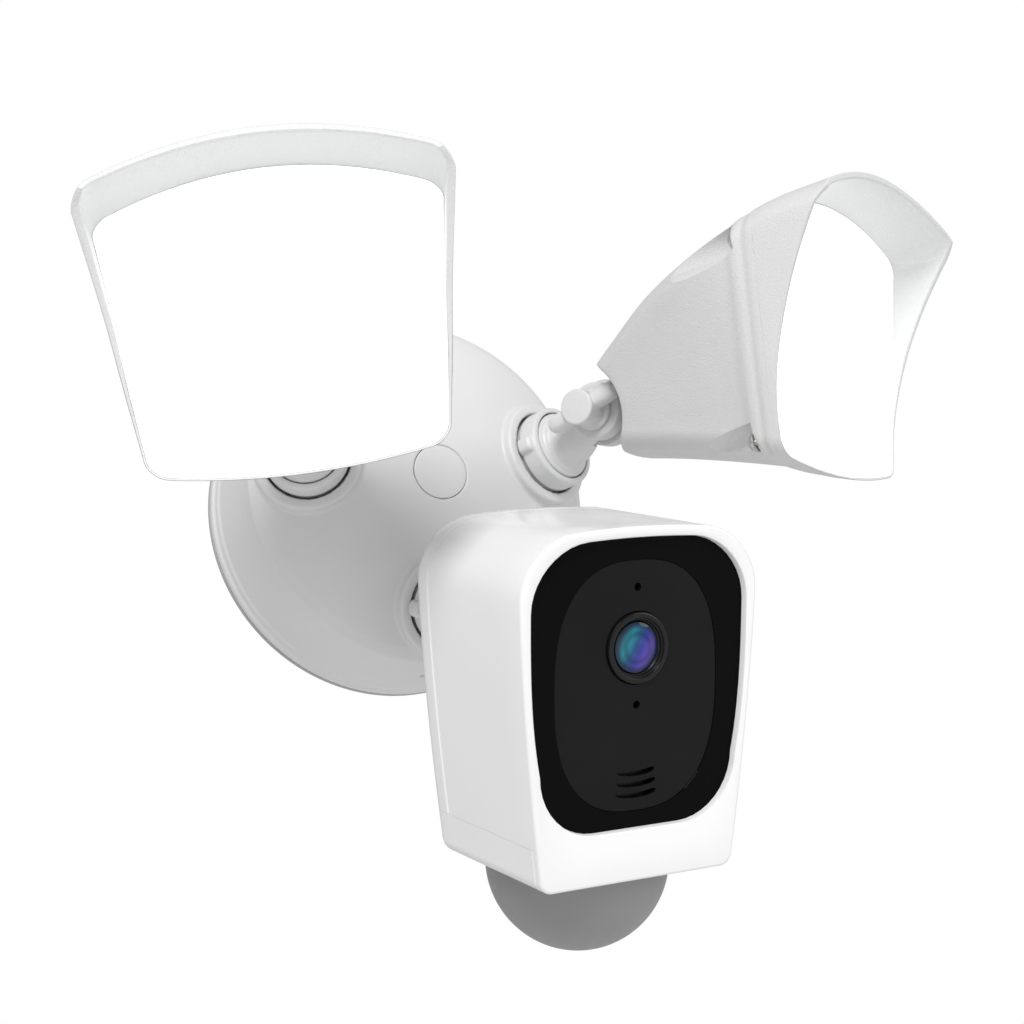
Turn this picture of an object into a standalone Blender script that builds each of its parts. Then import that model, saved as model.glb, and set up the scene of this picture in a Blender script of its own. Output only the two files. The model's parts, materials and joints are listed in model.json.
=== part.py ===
"""Floodlight security camera for a wall or eave.

A round canopy carries three jointed arms: one for each LED lamp head and one for the camera.
Every frame here has x to the right, y up and z out of the piece, and lengths are in millimetres
until an object is placed. The origin is the middle of the canopy's back, on the wall; the front
faces -Y.
"""

import math

import bmesh
import bpy
from mathutils import Matrix, Vector

MM = 0.001
GAP = 0.3  # between pieces that touch
OVERRUN = 1.0  # how far a cutter passes the face it cuts

# canopy
CANOPY_RADIUS = 64.0
CANOPY_RIDGE_RADIUS = 61.3
CANOPY_RIDGE_DEPTH = 40.1
CANOPY_CROWN = 59.2
CANOPY_DOME_POWER = 2.4
CANOPY_WALL = 2.6
FACE_RINGS = (53, 41, 24)
INNER_FACE_RINGS = (44, 20)
GASKET_THICKNESS = 2.0
FLANGE_THICKNESS = 3.0
FLANGE_STEP = 0.8
PLATE_RADIUS = 59.5
PLATE_THICKNESS = 2.5
PLUG_RADIUS = 9.4
PLUG_CUP_DEPTH = 8.8  # of the cup that holds the plug, below the crown
PLUG_CUP_FLOOR = 2.4
DRAIN_HALF_WIDTH = 2.0
DRAIN_FROM_WALL = (20.0, 23.0)
GROMMET_DROP = 24.0  # its middle below the canopy's axis
BOARD_HEIGHT = 14.0  # the driver board's, above the wall

# arm sockets in the canopy
SOCKET_RADIUS = 45.0  # from the canopy's axis
SOCKET_DEPTH = 52.7  # of the boss face, from the wall
SOCKET_TILT = 22.8  # degrees, outwards
SOCKET_ANGLES = {"left": 169.7, "right": 10.3, "camera": -90.0}
BOSS_RADIUS = 18.5
BOSS_BORE = 14.8
BOSS_BORE_DEPTH = 6.5
BOSS_FLOOR = 2.5

# arms
STEM_RADIUS = 8.5
NUT_RADIUS = 14.2
NUT_FRONT = 7.7
ARM_FLANGE_RADIUS = 11.7
PIVOT_REACH = 27.9  # hinge beyond the boss face
PIVOT_RISE = 4.0  # hinge above the stem's axis
EAR_RADIUS = 9.8
EAR_THICKNESS = 6.6
LUG_RADIUS = 11.3
LUG_THICKNESS = 6.2
HINGE_BORE = 3.0
HINGE_SHANK = 2.6
WING_REACH = 14.6
WING_TURN = -12.5  # degrees about the hinge
REAR_CLEARANCE = 19.0  # radius that each lamp head leaves free behind it, for the wings
REAR_CLEARANCE_DROP = 4.0  # its middle below the hinge

# yaw, pitch and roll of each head at rest, in degrees
REST_AIM = {"left": (-21.0, 1.4, 0.0), "right": (31.4, 0.0, 4.0), "camera": (6.55, -22.5, 3.3)}
# which side of the arm the wing screw is on: 1 is the head's right
SCREW_SIDE = {"left": 1, "right": -1, "camera": 1}

# lamp head: distance ahead of the hinge, half width at top and bottom, crown and belly heights
LAMP_STATIONS = (
    (2.0, 18.0, 15.0, 12.1, -17.6),
    (20.0, 27.3, 21.0, 20.5, -22.7),
    (40.0, 37.0, 27.0, 29.6, -29.5),
    (62.0, 46.7, 34.5, 35.8, -38.0),
    (81.0, 51.5, 42.0, 39.9, -46.7),
    (96.0, 52.7, 42.6, 42.2, -49.0),
    (116.5, 53.0, 43.0, 42.0, -51.5),
)
LAMP_ARCH_TOP = 0.24  # of the half width
LAMP_ARCH_BOTTOM = 0.15
LAMP_CORNER = 6.0
LENS_CORNER = 14.0
LAMP_WALL = 2.5
# the plane where the housing meets the hood: it leans forward, so that the lens faces down a little
FACE_FOOT = 76.5  # distance ahead of the hinge at the belly
FACE_LEVEL = -47.0  # height of the belly there
FACE_LEAN = 0.2
# distances from that plane, along the head
LENS_SEAT = -3.5
HOOD_LIP = 1.8
SCOOP_END = -7.5
HOOD_EDGE = (81.0, 35.5, -42.0, 30.0, 1.8)  # foot, overhang, its bottom and top heights, curve
SCOOP_RADIUS = 5.4
SCOOP_START = 44.0
LAMP_SCREW_SPOTS = ((-46.6, 24.5), (46.6, 24.5), (-37.6, -35.4), (37.6, -35.4))
LAMP_SCREW_RADIUS = 1.2

# camera body, measured from the middle of the lens, which is ahead of the hinge
LENS_AHEAD = 85.6
LENS_BELOW = 1.1
BODY_TOP = 35.3
BODY_BOTTOM = -67.6
BODY_HALF_WIDTH = 40.7
BODY_FOOT_HALF_WIDTH = 33.0
BODY_SHOULDER = 18.0  # height below which the body narrows
BODY_TOP_CORNER = 18.0
BODY_FOOT_CORNER = 4.0
BODY_ARCH = 3.0  # how far the top falls from its middle to its sides
BODY_WALL = 1.8
BEZEL_FRONT = 1.6
BEZEL_BACK = -0.4
BODY_SEAM = -52.0
BODY_REAR = -64.5
BODY_REAR_LEAN = 3.5  # how much further ahead the rear is at its foot
# (ahead, inset) of the rear's rounded edge
REAR_ROUNDING = (
    (BODY_REAR + 6.0, 0.8),
    (BODY_REAR + 2.6, 3.0),
    (BODY_REAR + 0.6, 6.5),
    (BODY_REAR, 11.0),
)
BOTTOM_SEAM = -54.8
PANEL_TOP = 32.0
PANEL_BOTTOM = -52.3
PANEL_HALF_WIDTH = 37.0
PANEL_FOOT_HALF_WIDTH = 28.0
PANEL_CORNER = 19.0
PANEL_LAP = 0.4  # behind the edge of the shell's opening
PANEL_THICKNESS = 2.4
BARREL_RADIUS = 10.4
PIR_RADIUS = 27.8
PIR_WALL = 1.8
PIR_CENTRE = (-68.5, -31.5)  # height and distance ahead of the lens
SENSOR_HEIGHTS = {"light_sensor": 17.6, "microphone": -16.6}
SPEAKER_SLOTS = ((-37.3, 5.7), (-39.9, 6.1), (-42.8, 6.5))  # height and half width

WHITE = (0.80, 0.80, 0.80)
GREY = (0.45, 0.46, 0.47)
BLACK = (0.012, 0.012, 0.014)
BOARD_GREEN = (0.03, 0.16, 0.07)
STEEL = (0.55, 0.55, 0.56)
ALUMINIUM = (0.70, 0.71, 0.72)


# ---------------------------------------------------------------- scene and materials


def clear_scene():
    for obj in list(bpy.data.objects):
        bpy.data.objects.remove(obj)


def make_material(name, colour, roughness, metallic=0.0):
    material = bpy.data.materials.new(name)
    material.use_nodes = True
    shader = material.node_tree.nodes["Principled BSDF"]
    shader.inputs["Base Color"].default_value = (*colour, 1.0)
    shader.inputs["Roughness"].default_value = roughness
    shader.inputs["Metallic"].default_value = metallic
    return material


# ---------------------------------------------------------------- frames


def frame_of(right, up, out, origin):
    """A 4 x 4 frame, in millimetres, from three axes and an origin."""
    turn = Matrix((right, up, out)).transposed().to_4x4()
    return Matrix.Translation(origin) @ turn


def canopy_frame():
    return frame_of(Vector((1, 0, 0)), Vector((0, 0, 1)), Vector((0, -1, 0)), Vector((0, 0, 0)))


def socket_frame(name):
    """Middle of an arm's boss face, with z along the arm's stem and y as near up as it can be."""
    angle = math.radians(SOCKET_ANGLES[name])
    tilt = math.radians(SOCKET_TILT)
    outward = Vector((math.cos(angle), 0, math.sin(angle)))
    origin = SOCKET_RADIUS * outward + Vector((0, -SOCKET_DEPTH, 0))
    out = math.sin(tilt) * outward + Vector((0, -math.cos(tilt), 0))
    right = Vector((0, 0, 1)).cross(out).normalized()
    return frame_of(right, out.cross(right), out, origin)


def head_frame(name):
    """A head's hinge, with x along the hinge, y up and z the way that the head faces at rest."""
    yaw, pitch, roll = (math.radians(angle) for angle in REST_AIM[name])
    out = Vector(
        (math.sin(yaw) * math.cos(pitch), -math.cos(yaw) * math.cos(pitch), math.sin(pitch))
    )
    level = Vector((math.cos(yaw), math.sin(yaw), 0))
    up = out.cross(level)
    right = math.cos(roll) * level + math.sin(roll) * up
    origin = socket_frame(name) @ Vector((0, PIVOT_RISE, PIVOT_REACH))
    return frame_of(right, out.cross(right), out, origin)


# ---------------------------------------------------------------- meshes


def closed_mesh(mesh):
    bmesh.ops.recalc_face_normals(mesh, faces=mesh.faces)
    return mesh


def bridge(mesh, loop, other):
    """Quads between two rings of the same count."""
    count = len(loop)
    for i in range(count):
        j = (i + 1) % count
        mesh.faces.new((loop[i], loop[j], other[j], other[i]))


def lofted(loops):
    """A closed solid through rings of points, capped at both ends."""
    mesh = bmesh.new()
    rings = [[mesh.verts.new(point) for point in loop] for loop in loops]
    for ring, following in zip(rings, rings[1:]):
        bridge(mesh, ring, following)
    mesh.faces.new(reversed(rings[0]))
    mesh.faces.new(rings[-1])
    return closed_mesh(mesh)


def ring_lofted(loops):
    """A closed ring-shaped solid: the last loop joins the first."""
    mesh = bmesh.new()
    rings = [[mesh.verts.new(point) for point in loop] for loop in loops]
    for i, ring in enumerate(rings):
        bridge(mesh, ring, rings[(i + 1) % len(rings)])
    return closed_mesh(mesh)


def circle(radius, height, segments):
    return [
        Vector(
            (
                radius * math.cos(2 * math.pi * i / segments),
                radius * math.sin(2 * math.pi * i / segments),
                height,
            )
        )
        for i in range(segments)
    ]


def turned(profile, segments=24):
    """A solid turned about z from (radius, height) points, with both ends closed flat."""
    return lofted([circle(radius, height, segments) for radius, height in profile])


def turned_ring(profile, segments=24):
    """A ring turned about z from a closed run of (radius, height) points."""
    return ring_lofted([circle(radius, height, segments) for radius, height in profile])


def block(low, high):
    (x0, y0, z0), (x1, y1, z1) = low, high
    foot = [Vector((x, y, z0)) for x, y in ((x0, y0), (x1, y0), (x1, y1), (x0, y1))]
    return lofted([foot, [Vector((p.x, p.y, z1)) for p in foot]])


def along_x(mesh, side):
    """Lays a mesh that was turned about z along the hinge, towards +x or -x."""
    bmesh.ops.transform(mesh, matrix=Matrix.Rotation(side * math.pi / 2, 4, "Y"), verts=mesh.verts)
    return mesh


def moved(mesh, x=0.0, y=0.0, z=0.0):
    bmesh.ops.translate(mesh, vec=(x, y, z), verts=mesh.verts)
    return mesh


def placed(mesh, matrix):
    bmesh.ops.transform(mesh, matrix=matrix, verts=mesh.verts)
    return mesh


# ---------------------------------------------------------------- objects


def make_object(name, mesh, material, frame, smooth_angle=35.0):
    """An object whose origin is the frame's, from a mesh in that frame's millimetres."""
    bmesh.ops.scale(mesh, vec=(MM, MM, MM), verts=mesh.verts)
    data = bpy.data.meshes.new(name)
    mesh.to_mesh(data)
    mesh.free()
    data.shade_smooth()
    data.set_sharp_from_angle(angle=math.radians(smooth_angle))
    data.materials.append(material)
    obj = bpy.data.objects.new(name, data)
    bpy.context.scene.collection.objects.link(obj)
    obj.matrix_world = Matrix.Translation(MM * frame.translation) @ frame.to_3x3().to_4x4()
    bpy.context.view_layer.update()
    return obj


def combine(obj, mesh, operation):
    """Cuts or joins a mesh in the object's own millimetres, and keeps the result."""
    bmesh.ops.scale(mesh, vec=(MM, MM, MM), verts=mesh.verts)
    data = bpy.data.meshes.new("tool")
    mesh.to_mesh(data)
    mesh.free()
    tool = bpy.data.objects.new("tool", data)
    bpy.context.scene.collection.objects.link(tool)
    tool.matrix_world = obj.matrix_world
    modifier = obj.modifiers.new(operation.lower(), "BOOLEAN")
    modifier.operation = operation
    modifier.object = tool
    bpy.context.view_layer.update()
    graph = bpy.context.evaluated_depsgraph_get()
    result = bpy.data.meshes.new_from_object(obj.evaluated_get(graph))
    obj.modifiers.clear()
    obj.data = result
    bpy.data.objects.remove(tool)


def cut(obj, *meshes):
    for mesh in meshes:
        combine(obj, mesh, "DIFFERENCE")


def join(obj, *meshes):
    for mesh in meshes:
        combine(obj, mesh, "UNION")


# ---------------------------------------------------------------- outlines

CORNER_STEPS = 3
SIDE_STEPS = 3
EDGE_STEPS = 4


def arc(centre_x, centre_y, radius, start):
    """A quarter circle from an angle in degrees, anticlockwise."""
    angles = [math.radians(start + 90 * i / CORNER_STEPS) for i in range(CORNER_STEPS + 1)]
    return [(centre_x + radius * math.cos(a), centre_y + radius * math.sin(a)) for a in angles]


def between(start, end, steps):
    """The points that divide a line into equal steps, without its ends."""
    shares = [i / steps for i in range(1, steps)]
    return [tuple(a + share * (b - a) for a, b in zip(start, end)) for share in shares]


def rounded_outline(half_width_at, bottom, top, foot_corner, top_corner):
    """(x, y) round a shape whose half width depends on the height, with rounded corners."""
    foot = bottom + foot_corner
    shoulder = top - top_corner
    right = arc(half_width_at(foot) - foot_corner, foot, foot_corner, -90)
    for i in range(1, SIDE_STEPS):
        y = foot + (shoulder - foot) * i / SIDE_STEPS
        right.append((half_width_at(y), y))
    right += arc(half_width_at(shoulder) - top_corner, shoulder, top_corner, 0)
    left = [(-x, y) for x, y in reversed(right)]
    top_edge = between(right[-1], left[0], EDGE_STEPS)
    bottom_edge = between(left[-1], right[0], EDGE_STEPS)
    return right + top_edge + left + bottom_edge


def lamp_sizes(ahead):
    """Half widths, crown and belly of the lamp head at a distance ahead of the hinge."""
    for low, high in zip(LAMP_STATIONS, LAMP_STATIONS[1:]):
        if ahead <= high[0]:
            break
    share = (ahead - low[0]) / (high[0] - low[0])
    return [a + share * (b - a) for a, b in zip(low[1:], high[1:])]


def lamp_outline(ahead, inset=0.0, corner=LAMP_CORNER):
    """(x, y) round the lamp head's cross-section, arched at the top and the bottom."""
    half_top, half_bottom, crown, belly = lamp_sizes(ahead)
    middle = (crown + belly) / 2

    def half_width_at(y):
        return half_bottom + (half_top - half_bottom) * (y - belly) / (crown - belly) - inset

    def arched(x, y):
        share = (y - middle) / (crown - middle)
        arch = LAMP_ARCH_TOP * half_top if share > 0 else LAMP_ARCH_BOTTOM * half_bottom
        return x, y - arch * share * (x / half_top) ** 2

    flat = rounded_outline(half_width_at, belly + inset, crown - inset, corner, corner)
    return [arched(x, y) for x, y in flat]


def lamp_loop(ahead, inset=0.0, corner=LAMP_CORNER):
    return [Vector((x, y, ahead)) for x, y in lamp_outline(ahead, inset, corner)]


def face_ahead(height, offset=0.0):
    """How far ahead the leaning front plane is at a height, or a plane parallel to it."""
    return FACE_FOOT + FACE_LEAN * (height - FACE_LEVEL) + offset


def face_loop(offset, inset=0.0, corner=LAMP_CORNER):
    """The lamp's outline in a plane parallel to its leaning front plane."""
    points = []
    for i, (_, height) in enumerate(lamp_outline(FACE_FOOT + offset, inset, corner)):
        x, y = lamp_outline(face_ahead(height, offset), inset, corner)[i]
        points.append(Vector((x, y, face_ahead(y, offset))))
    return points


def hood_edge(height):
    """How far ahead the hood's front edge is at a height: the visor reaches out at the top."""
    foot, overhang, bottom, top, curve = HOOD_EDGE
    share = min(max((height - bottom) / (top - bottom), 0.0), 1.0)
    return foot + overhang * share**curve


def hood_loop(share, inset=0.0, corner=LAMP_CORNER):
    """A ring of the hood, a share of the way from its lip to its front edge."""
    points = []
    for i, lip in enumerate(face_loop(HOOD_LIP)):
        ahead = lip.z + share * (hood_edge(lip.y) - lip.z)
        points.append(Vector((*lamp_outline(ahead, inset, corner)[i], ahead)))
    return points


def body_half_width(height):
    drop = max(BODY_SHOULDER - height, 0.0) / (BODY_SHOULDER - BODY_BOTTOM)
    return BODY_HALF_WIDTH - (BODY_HALF_WIDTH - BODY_FOOT_HALF_WIDTH) * drop**1.5


def top_arch(x, y):
    """How far the crowned top of the body lowers a point."""
    return BODY_ARCH * max(y / BODY_TOP, 0.0) * (x / BODY_HALF_WIDTH) ** 2


def body_loop(ahead, inset=0.0):
    """The camera body's cross-section at a distance ahead of the lens."""
    outline = rounded_outline(
        lambda y: body_half_width(y) - inset,
        BODY_BOTTOM + inset,
        BODY_TOP - inset,
        BODY_FOOT_CORNER,
        BODY_TOP_CORNER - inset / 2,
    )
    lean = BODY_REAR_LEAN / (BODY_TOP - BODY_BOTTOM) if ahead < BODY_SEAM / 2 else 0.0
    arched = [(x, y - top_arch(x, y)) for x, y in outline]
    return [Vector((x, y, ahead + lean * (BODY_TOP - y))) for x, y in arched]


def panel_loop(ahead, grow=0.0):
    """The outline of the camera's black front panel."""

    def half_width_at(y):
        drop = max(BODY_SHOULDER - y, 0.0) / (BODY_SHOULDER - PANEL_BOTTOM)
        return PANEL_HALF_WIDTH - (PANEL_HALF_WIDTH - PANEL_FOOT_HALF_WIDTH) * drop**3.2 + grow

    outline = rounded_outline(
        half_width_at, PANEL_BOTTOM - grow, PANEL_TOP + grow, PANEL_CORNER, PANEL_CORNER
    )
    return [Vector((x, y - top_arch(x, y), ahead)) for x, y in outline]


# ---------------------------------------------------------------- canopy


def dome_depth(radius):
    """Height of the canopy's face above the wall at a distance from its axis."""
    share = min(radius / CANOPY_RIDGE_RADIUS, 1.0)
    rise = CANOPY_CROWN - CANOPY_RIDGE_DEPTH
    return CANOPY_RIDGE_DEPTH + rise * (1 - share**CANOPY_DOME_POWER)


def canopy_profile(inset, back, face_rings):
    """From the back edge round the ridge to near the crown, a wall thickness in."""
    side = [
        (CANOPY_RADIUS - inset, back),
        (CANOPY_RADIUS - inset, back + FLANGE_THICKNESS),
        (CANOPY_RADIUS - FLANGE_STEP - inset, back + FLANGE_THICKNESS + FLANGE_STEP),
        (CANOPY_RIDGE_RADIUS - inset, CANOPY_RIDGE_DEPTH - 1.5 - inset),
        (CANOPY_RIDGE_RADIUS - 1.0 - inset, CANOPY_RIDGE_DEPTH - inset),
    ]
    face = [(radius, dome_depth(radius) - inset) for radius in face_rings]
    return side + face


def socket_in_canopy(name):
    return canopy_frame().inverted() @ socket_frame(name)


def boss(name):
    """One socket's cup, which stands on the canopy's face."""
    foot = -(BOSS_BORE_DEPTH + BOSS_FLOOR)
    profile = [(BOSS_RADIUS, foot), (BOSS_RADIUS, -1.4), (BOSS_RADIUS - 1.4, 0)]
    return placed(turned(profile), socket_in_canopy(name))


def boss_bore(name):
    profile = [
        (STEM_RADIUS + GAP, -30),
        (STEM_RADIUS + GAP, -BOSS_BORE_DEPTH),
        (BOSS_BORE, -BOSS_BORE_DEPTH),
        (BOSS_BORE, OVERRUN),
    ]
    return placed(turned(profile), socket_in_canopy(name))


def make_canopy(material):
    back = GASKET_THICKNESS + GAP
    cover = make_object(
        "base_cover", turned(canopy_profile(0, back, FACE_RINGS), 40), material, canopy_frame()
    )
    inside = canopy_profile(CANOPY_WALL, back - OVERRUN, INNER_FACE_RINGS)
    cut(cover, turned(inside, 24))
    cup_floor = CANOPY_CROWN - PLUG_CUP_DEPTH
    join(cover, turned([(PLUG_RADIUS + 3.0, cup_floor), (PLUG_RADIUS + 3.0, CANOPY_CROWN - 1.6)]))
    for name in SOCKET_ANGLES:
        join(cover, boss(name))
    for name in SOCKET_ANGLES:
        cut(cover, boss_bore(name))
    plug_hole = [
        (2.8, cup_floor - OVERRUN),
        (2.8, cup_floor + PLUG_CUP_FLOOR),
        (PLUG_RADIUS + GAP, cup_floor + PLUG_CUP_FLOOR),
        (PLUG_RADIUS + GAP, CANOPY_CROWN + OVERRUN),
    ]
    cut(cover, turned(plug_hole))
    low, high = DRAIN_FROM_WALL
    foot = (-DRAIN_HALF_WIDTH, -CANOPY_RADIUS - OVERRUN, low)
    cut(cover, block(foot, (DRAIN_HALF_WIDTH, -CANOPY_RADIUS + 6.0, high)))
    return cover


def make_wall_gasket(material):
    profile = [
        (52.0, 0.0),
        (CANOPY_RADIUS - 0.6, 0.0),
        (CANOPY_RADIUS, 0.6),
        (CANOPY_RADIUS, GASKET_THICKNESS),
        (52.0, GASKET_THICKNESS),
    ]
    return make_object("wall_gasket", turned_ring(profile, 40), material, canopy_frame())


def make_mounting_plate(material):
    low = GASKET_THICKNESS + GAP
    high = low + PLATE_THICKNESS
    plate = make_object(
        "mounting_plate",
        turned([(PLATE_RADIUS, low), (PLATE_RADIUS, high)], 40),
        material,
        canopy_frame(),
    )
    cut(plate, turned([(2.8, low - OVERRUN), (2.8, high + OVERRUN)], 16))
    cable_way = turned([(9.0, low - OVERRUN), (9.0, high + OVERRUN)], 20)
    cut(plate, moved(cable_way, y=-GROMMET_DROP))
    return plate


def make_cable_grommet(material):
    low = GASKET_THICKNESS
    high = GASKET_THICKNESS + PLATE_THICKNESS + 2 * GAP
    profile = [
        (5.0, low - 1.4),
        (11.0, low - 1.4),
        (11.0, low),
        (9.0 - GAP, low),
        (9.0 - GAP, high),
        (11.0, high),
        (10.0, high + 1.4),
        (5.0, high + 1.4),
    ]
    ring = moved(turned_ring(profile, 20), y=-GROMMET_DROP)
    return make_object("cable_grommet", ring, material, canopy_frame())


def make_centre_bolt(material):
    seat = CANOPY_CROWN - PLUG_CUP_DEPTH + PLUG_CUP_FLOOR + GAP
    profile = [(2.4, 1.0), (2.4, seat), (4.8, seat), (4.8, seat + 2.0), (3.8, seat + 2.6)]
    return make_object("centre_bolt", turned(profile, 16), material, canopy_frame())


def make_centre_plug(material):
    floor = CANOPY_CROWN - PLUG_CUP_DEPTH + PLUG_CUP_FLOOR + 2 * GAP
    profile = [
        (PLUG_RADIUS - 1.6, floor),
        (PLUG_RADIUS, floor),
        (PLUG_RADIUS, CANOPY_CROWN - 0.4),
        (PLUG_RADIUS - 0.6, CANOPY_CROWN),
    ]
    plug = make_object("centre_plug", turned(profile), material, canopy_frame())
    inside = [(PLUG_RADIUS - 1.6, floor - OVERRUN), (PLUG_RADIUS - 1.6, CANOPY_CROWN - 1.8)]
    cut(plug, turned(inside, 24))
    return plug


def make_driver(board_material, black):
    """The lamps' power supply: a board on the mounting plate, with its transformer and terminals."""
    frame = canopy_frame()
    high = BOARD_HEIGHT
    mesh = block((-34, 8, high), (34, 44, high + 1.6))
    board = make_object("driver_board", mesh, board_material, frame)
    plate_face = GASKET_THICKNESS + GAP + PLATE_THICKNESS
    for x in (-30, 30):
        for y in (12, 40):
            post = turned([(2.2, plate_face + GAP), (2.2, high + 0.8)], 10)
            join(board, moved(post, x=x, y=y))
    face = high + 1.6 + GAP
    make_object("transformer", block((-14, 14, face), (8, 38, face + 17)), black, frame)
    make_object("terminal_block", block((14, 16, face), (28, 36, face + 10)), black, frame)


# ---------------------------------------------------------------- arms


def make_lock_nut(name, material):
    """The ring nut that locks an arm's swivel, with two grips."""
    profile = [
        (STEM_RADIUS + GAP, -4.6),
        (NUT_RADIUS, -4.6),
        (NUT_RADIUS, 4.6),
        (NUT_RADIUS - 0.5, NUT_FRONT - 0.5),
        (NUT_RADIUS - 1.1, NUT_FRONT),
        (ARM_FLANGE_RADIUS + GAP, NUT_FRONT),
        (ARM_FLANGE_RADIUS + GAP, NUT_FRONT - 2.6),
        (STEM_RADIUS + GAP, NUT_FRONT - 2.6),
    ]
    nut = make_object(f"{name}_lock_nut", turned_ring(profile), material, socket_frame(name))
    for side in (-1, 1):
        grip = block((NUT_RADIUS - 1.5, -2.6, 0.6), (NUT_RADIUS + 2.1, 2.6, 6.0))
        bmesh.ops.bevel(grip, geom=grip.edges, offset=1.1, segments=2, affect="EDGES")
        if side < 0:
            placed(grip, Matrix.Rotation(math.pi, 4, "Z"))
        join(nut, grip)
    return nut


def make_nut_gasket(name, material):
    low = -BOSS_BORE_DEPTH + GAP
    profile = [
        (STEM_RADIUS + 2 * GAP, low),
        (BOSS_BORE - 1.0, low),
        (BOSS_BORE - 1.0, low + 1.2),
        (STEM_RADIUS + 2 * GAP, low + 1.2),
    ]
    return make_object(
        f"{name}_nut_gasket", turned_ring(profile, 18), material, socket_frame(name)
    )


def make_arm_clip(name, material):
    """The ring inside the canopy that keeps the arm's stem from pulling out."""
    high = -(BOSS_BORE_DEPTH + BOSS_FLOOR) - GAP
    profile = [
        (STEM_RADIUS - 1.0 + GAP, high - 1.5),
        (STEM_RADIUS + 3.0, high - 1.5),
        (STEM_RADIUS + 3.0, high),
        (STEM_RADIUS - 1.0 + GAP, high),
    ]
    return make_object(f"{name}_arm_clip", turned_ring(profile, 18), material, socket_frame(name))


def make_arm(name, material):
    """Stem, flange and neck about the socket's axis, with the ear on the head's hinge."""
    side = SCREW_SIDE[name]
    groove = -(BOSS_BORE_DEPTH + BOSS_FLOOR) - GAP
    profile = [
        (STEM_RADIUS, groove - 4.5),
        (STEM_RADIUS, groove - 1.5 - GAP),
        (STEM_RADIUS - 1.0, groove - 1.5 - GAP),
        (STEM_RADIUS - 1.0, groove + GAP),
        (STEM_RADIUS, groove + GAP),
        (STEM_RADIUS, NUT_FRONT - 2.6 + GAP),
        (ARM_FLANGE_RADIUS, NUT_FRONT - 2.6 + GAP),
        (ARM_FLANGE_RADIUS, NUT_FRONT - 0.2),
        (ARM_FLANGE_RADIUS - 0.5, NUT_FRONT + 0.1),
        (10.0, NUT_FRONT + 0.1),
        (9.0, NUT_FRONT + 0.7),
        (8.5, NUT_FRONT + 2.0),
        (8.2, 17.0),
    ]
    arm = make_object(f"{name}_arm", turned(profile, 20), material, socket_frame(name))
    hinge = socket_frame(name).inverted() @ head_frame(name)
    ear_edge = (EAR_RADIUS - 0.8, EAR_THICKNESS)
    ear = turned([(EAR_RADIUS, 0.15), (EAR_RADIUS, EAR_THICKNESS - 0.8), ear_edge])
    neck_foot = circle(8.2, 14.0, 16)
    neck_top = [
        Vector((0.6 * p.x + side * 1.1, 0.85 * p.y + 0.9 * PIVOT_RISE, PIVOT_REACH - 2.0))
        for p in circle(8.6, 0.0, 16)
    ]
    join(arm, lofted([neck_foot, neck_top]))
    join(arm, placed(along_x(ear, side), hinge))
    room = turned([(LUG_RADIUS + 0.6, -0.15), (LUG_RADIUS + 0.6, 14.0)])
    cut(arm, placed(along_x(room, -side), hinge))
    screw_room = turned([(WING_REACH + 1.0, EAR_THICKNESS), (WING_REACH + 1.0, 30.0)])
    cut(arm, placed(along_x(screw_room, side), hinge))
    bore = turned([(HINGE_BORE, -2.0), (HINGE_BORE, EAR_THICKNESS + OVERRUN)], 16)
    cut(arm, placed(along_x(bore, side), hinge))
    wire_way = turned([(3.6, groove - 5.5), (3.6, 13.0)], 16)
    cut(arm, wire_way)
    return arm


def make_wing_screw(name, material):
    """The hand screw that locks a head's tilt: shank, collar, dished head and two wings."""
    side = SCREW_SIDE[name]
    start = EAR_THICKNESS + GAP
    profile = [
        (HINGE_SHANK, -LUG_THICKNESS - 4.6),
        (HINGE_SHANK, start),
        (6.8, start),
        (6.8, start + 1.2),
        (5.9, start + 1.8),
        (5.8, 17.2),
        (5.2, 18.0),
        (3.0, 17.3),
    ]
    screw = make_object(
        f"{name}_wing_screw", along_x(turned(profile, 20), side), material, head_frame(name)
    )
    wings = block((start + 3.6, -3.2, -WING_REACH), (17.4, 3.2, WING_REACH))
    bmesh.ops.bevel(wings, geom=wings.edges, offset=2.2, segments=2, affect="EDGES")
    if side < 0:
        placed(wings, Matrix.Rotation(math.pi, 4, "Z"))
    join(screw, placed(wings, Matrix.Rotation(math.radians(WING_TURN), 4, "X")))
    return screw


def make_hinge_nut(name, material):
    side = SCREW_SIDE[name]
    low = LUG_THICKNESS + GAP
    profile = [
        (HINGE_SHANK + GAP, low),
        (5.0, low),
        (5.0, low + 3.4),
        (HINGE_SHANK + GAP, low + 3.4),
    ]
    return make_object(
        f"{name}_hinge_nut", along_x(turned_ring(profile, 12), -side), material, head_frame(name)
    )


def hinge_lug(side):
    edge = (LUG_RADIUS - 0.8, LUG_THICKNESS)
    lug = turned([(LUG_RADIUS, 0.15), (LUG_RADIUS, LUG_THICKNESS - 0.8), edge])
    return along_x(lug, -side)


def hinge_bore(side):
    bore = turned([(HINGE_BORE, -OVERRUN), (HINGE_BORE, LUG_THICKNESS + OVERRUN)], 16)
    return along_x(bore, -side)


def make_arm_set(name, parts):
    make_lock_nut(name, parts["white"])
    make_nut_gasket(name, parts["rubber"])
    make_arm(name, parts["white"])
    make_arm_clip(name, parts["steel"])
    make_wing_screw(name, parts["white"])
    make_hinge_nut(name, parts["steel"])


# ---------------------------------------------------------------- lamp heads


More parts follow.
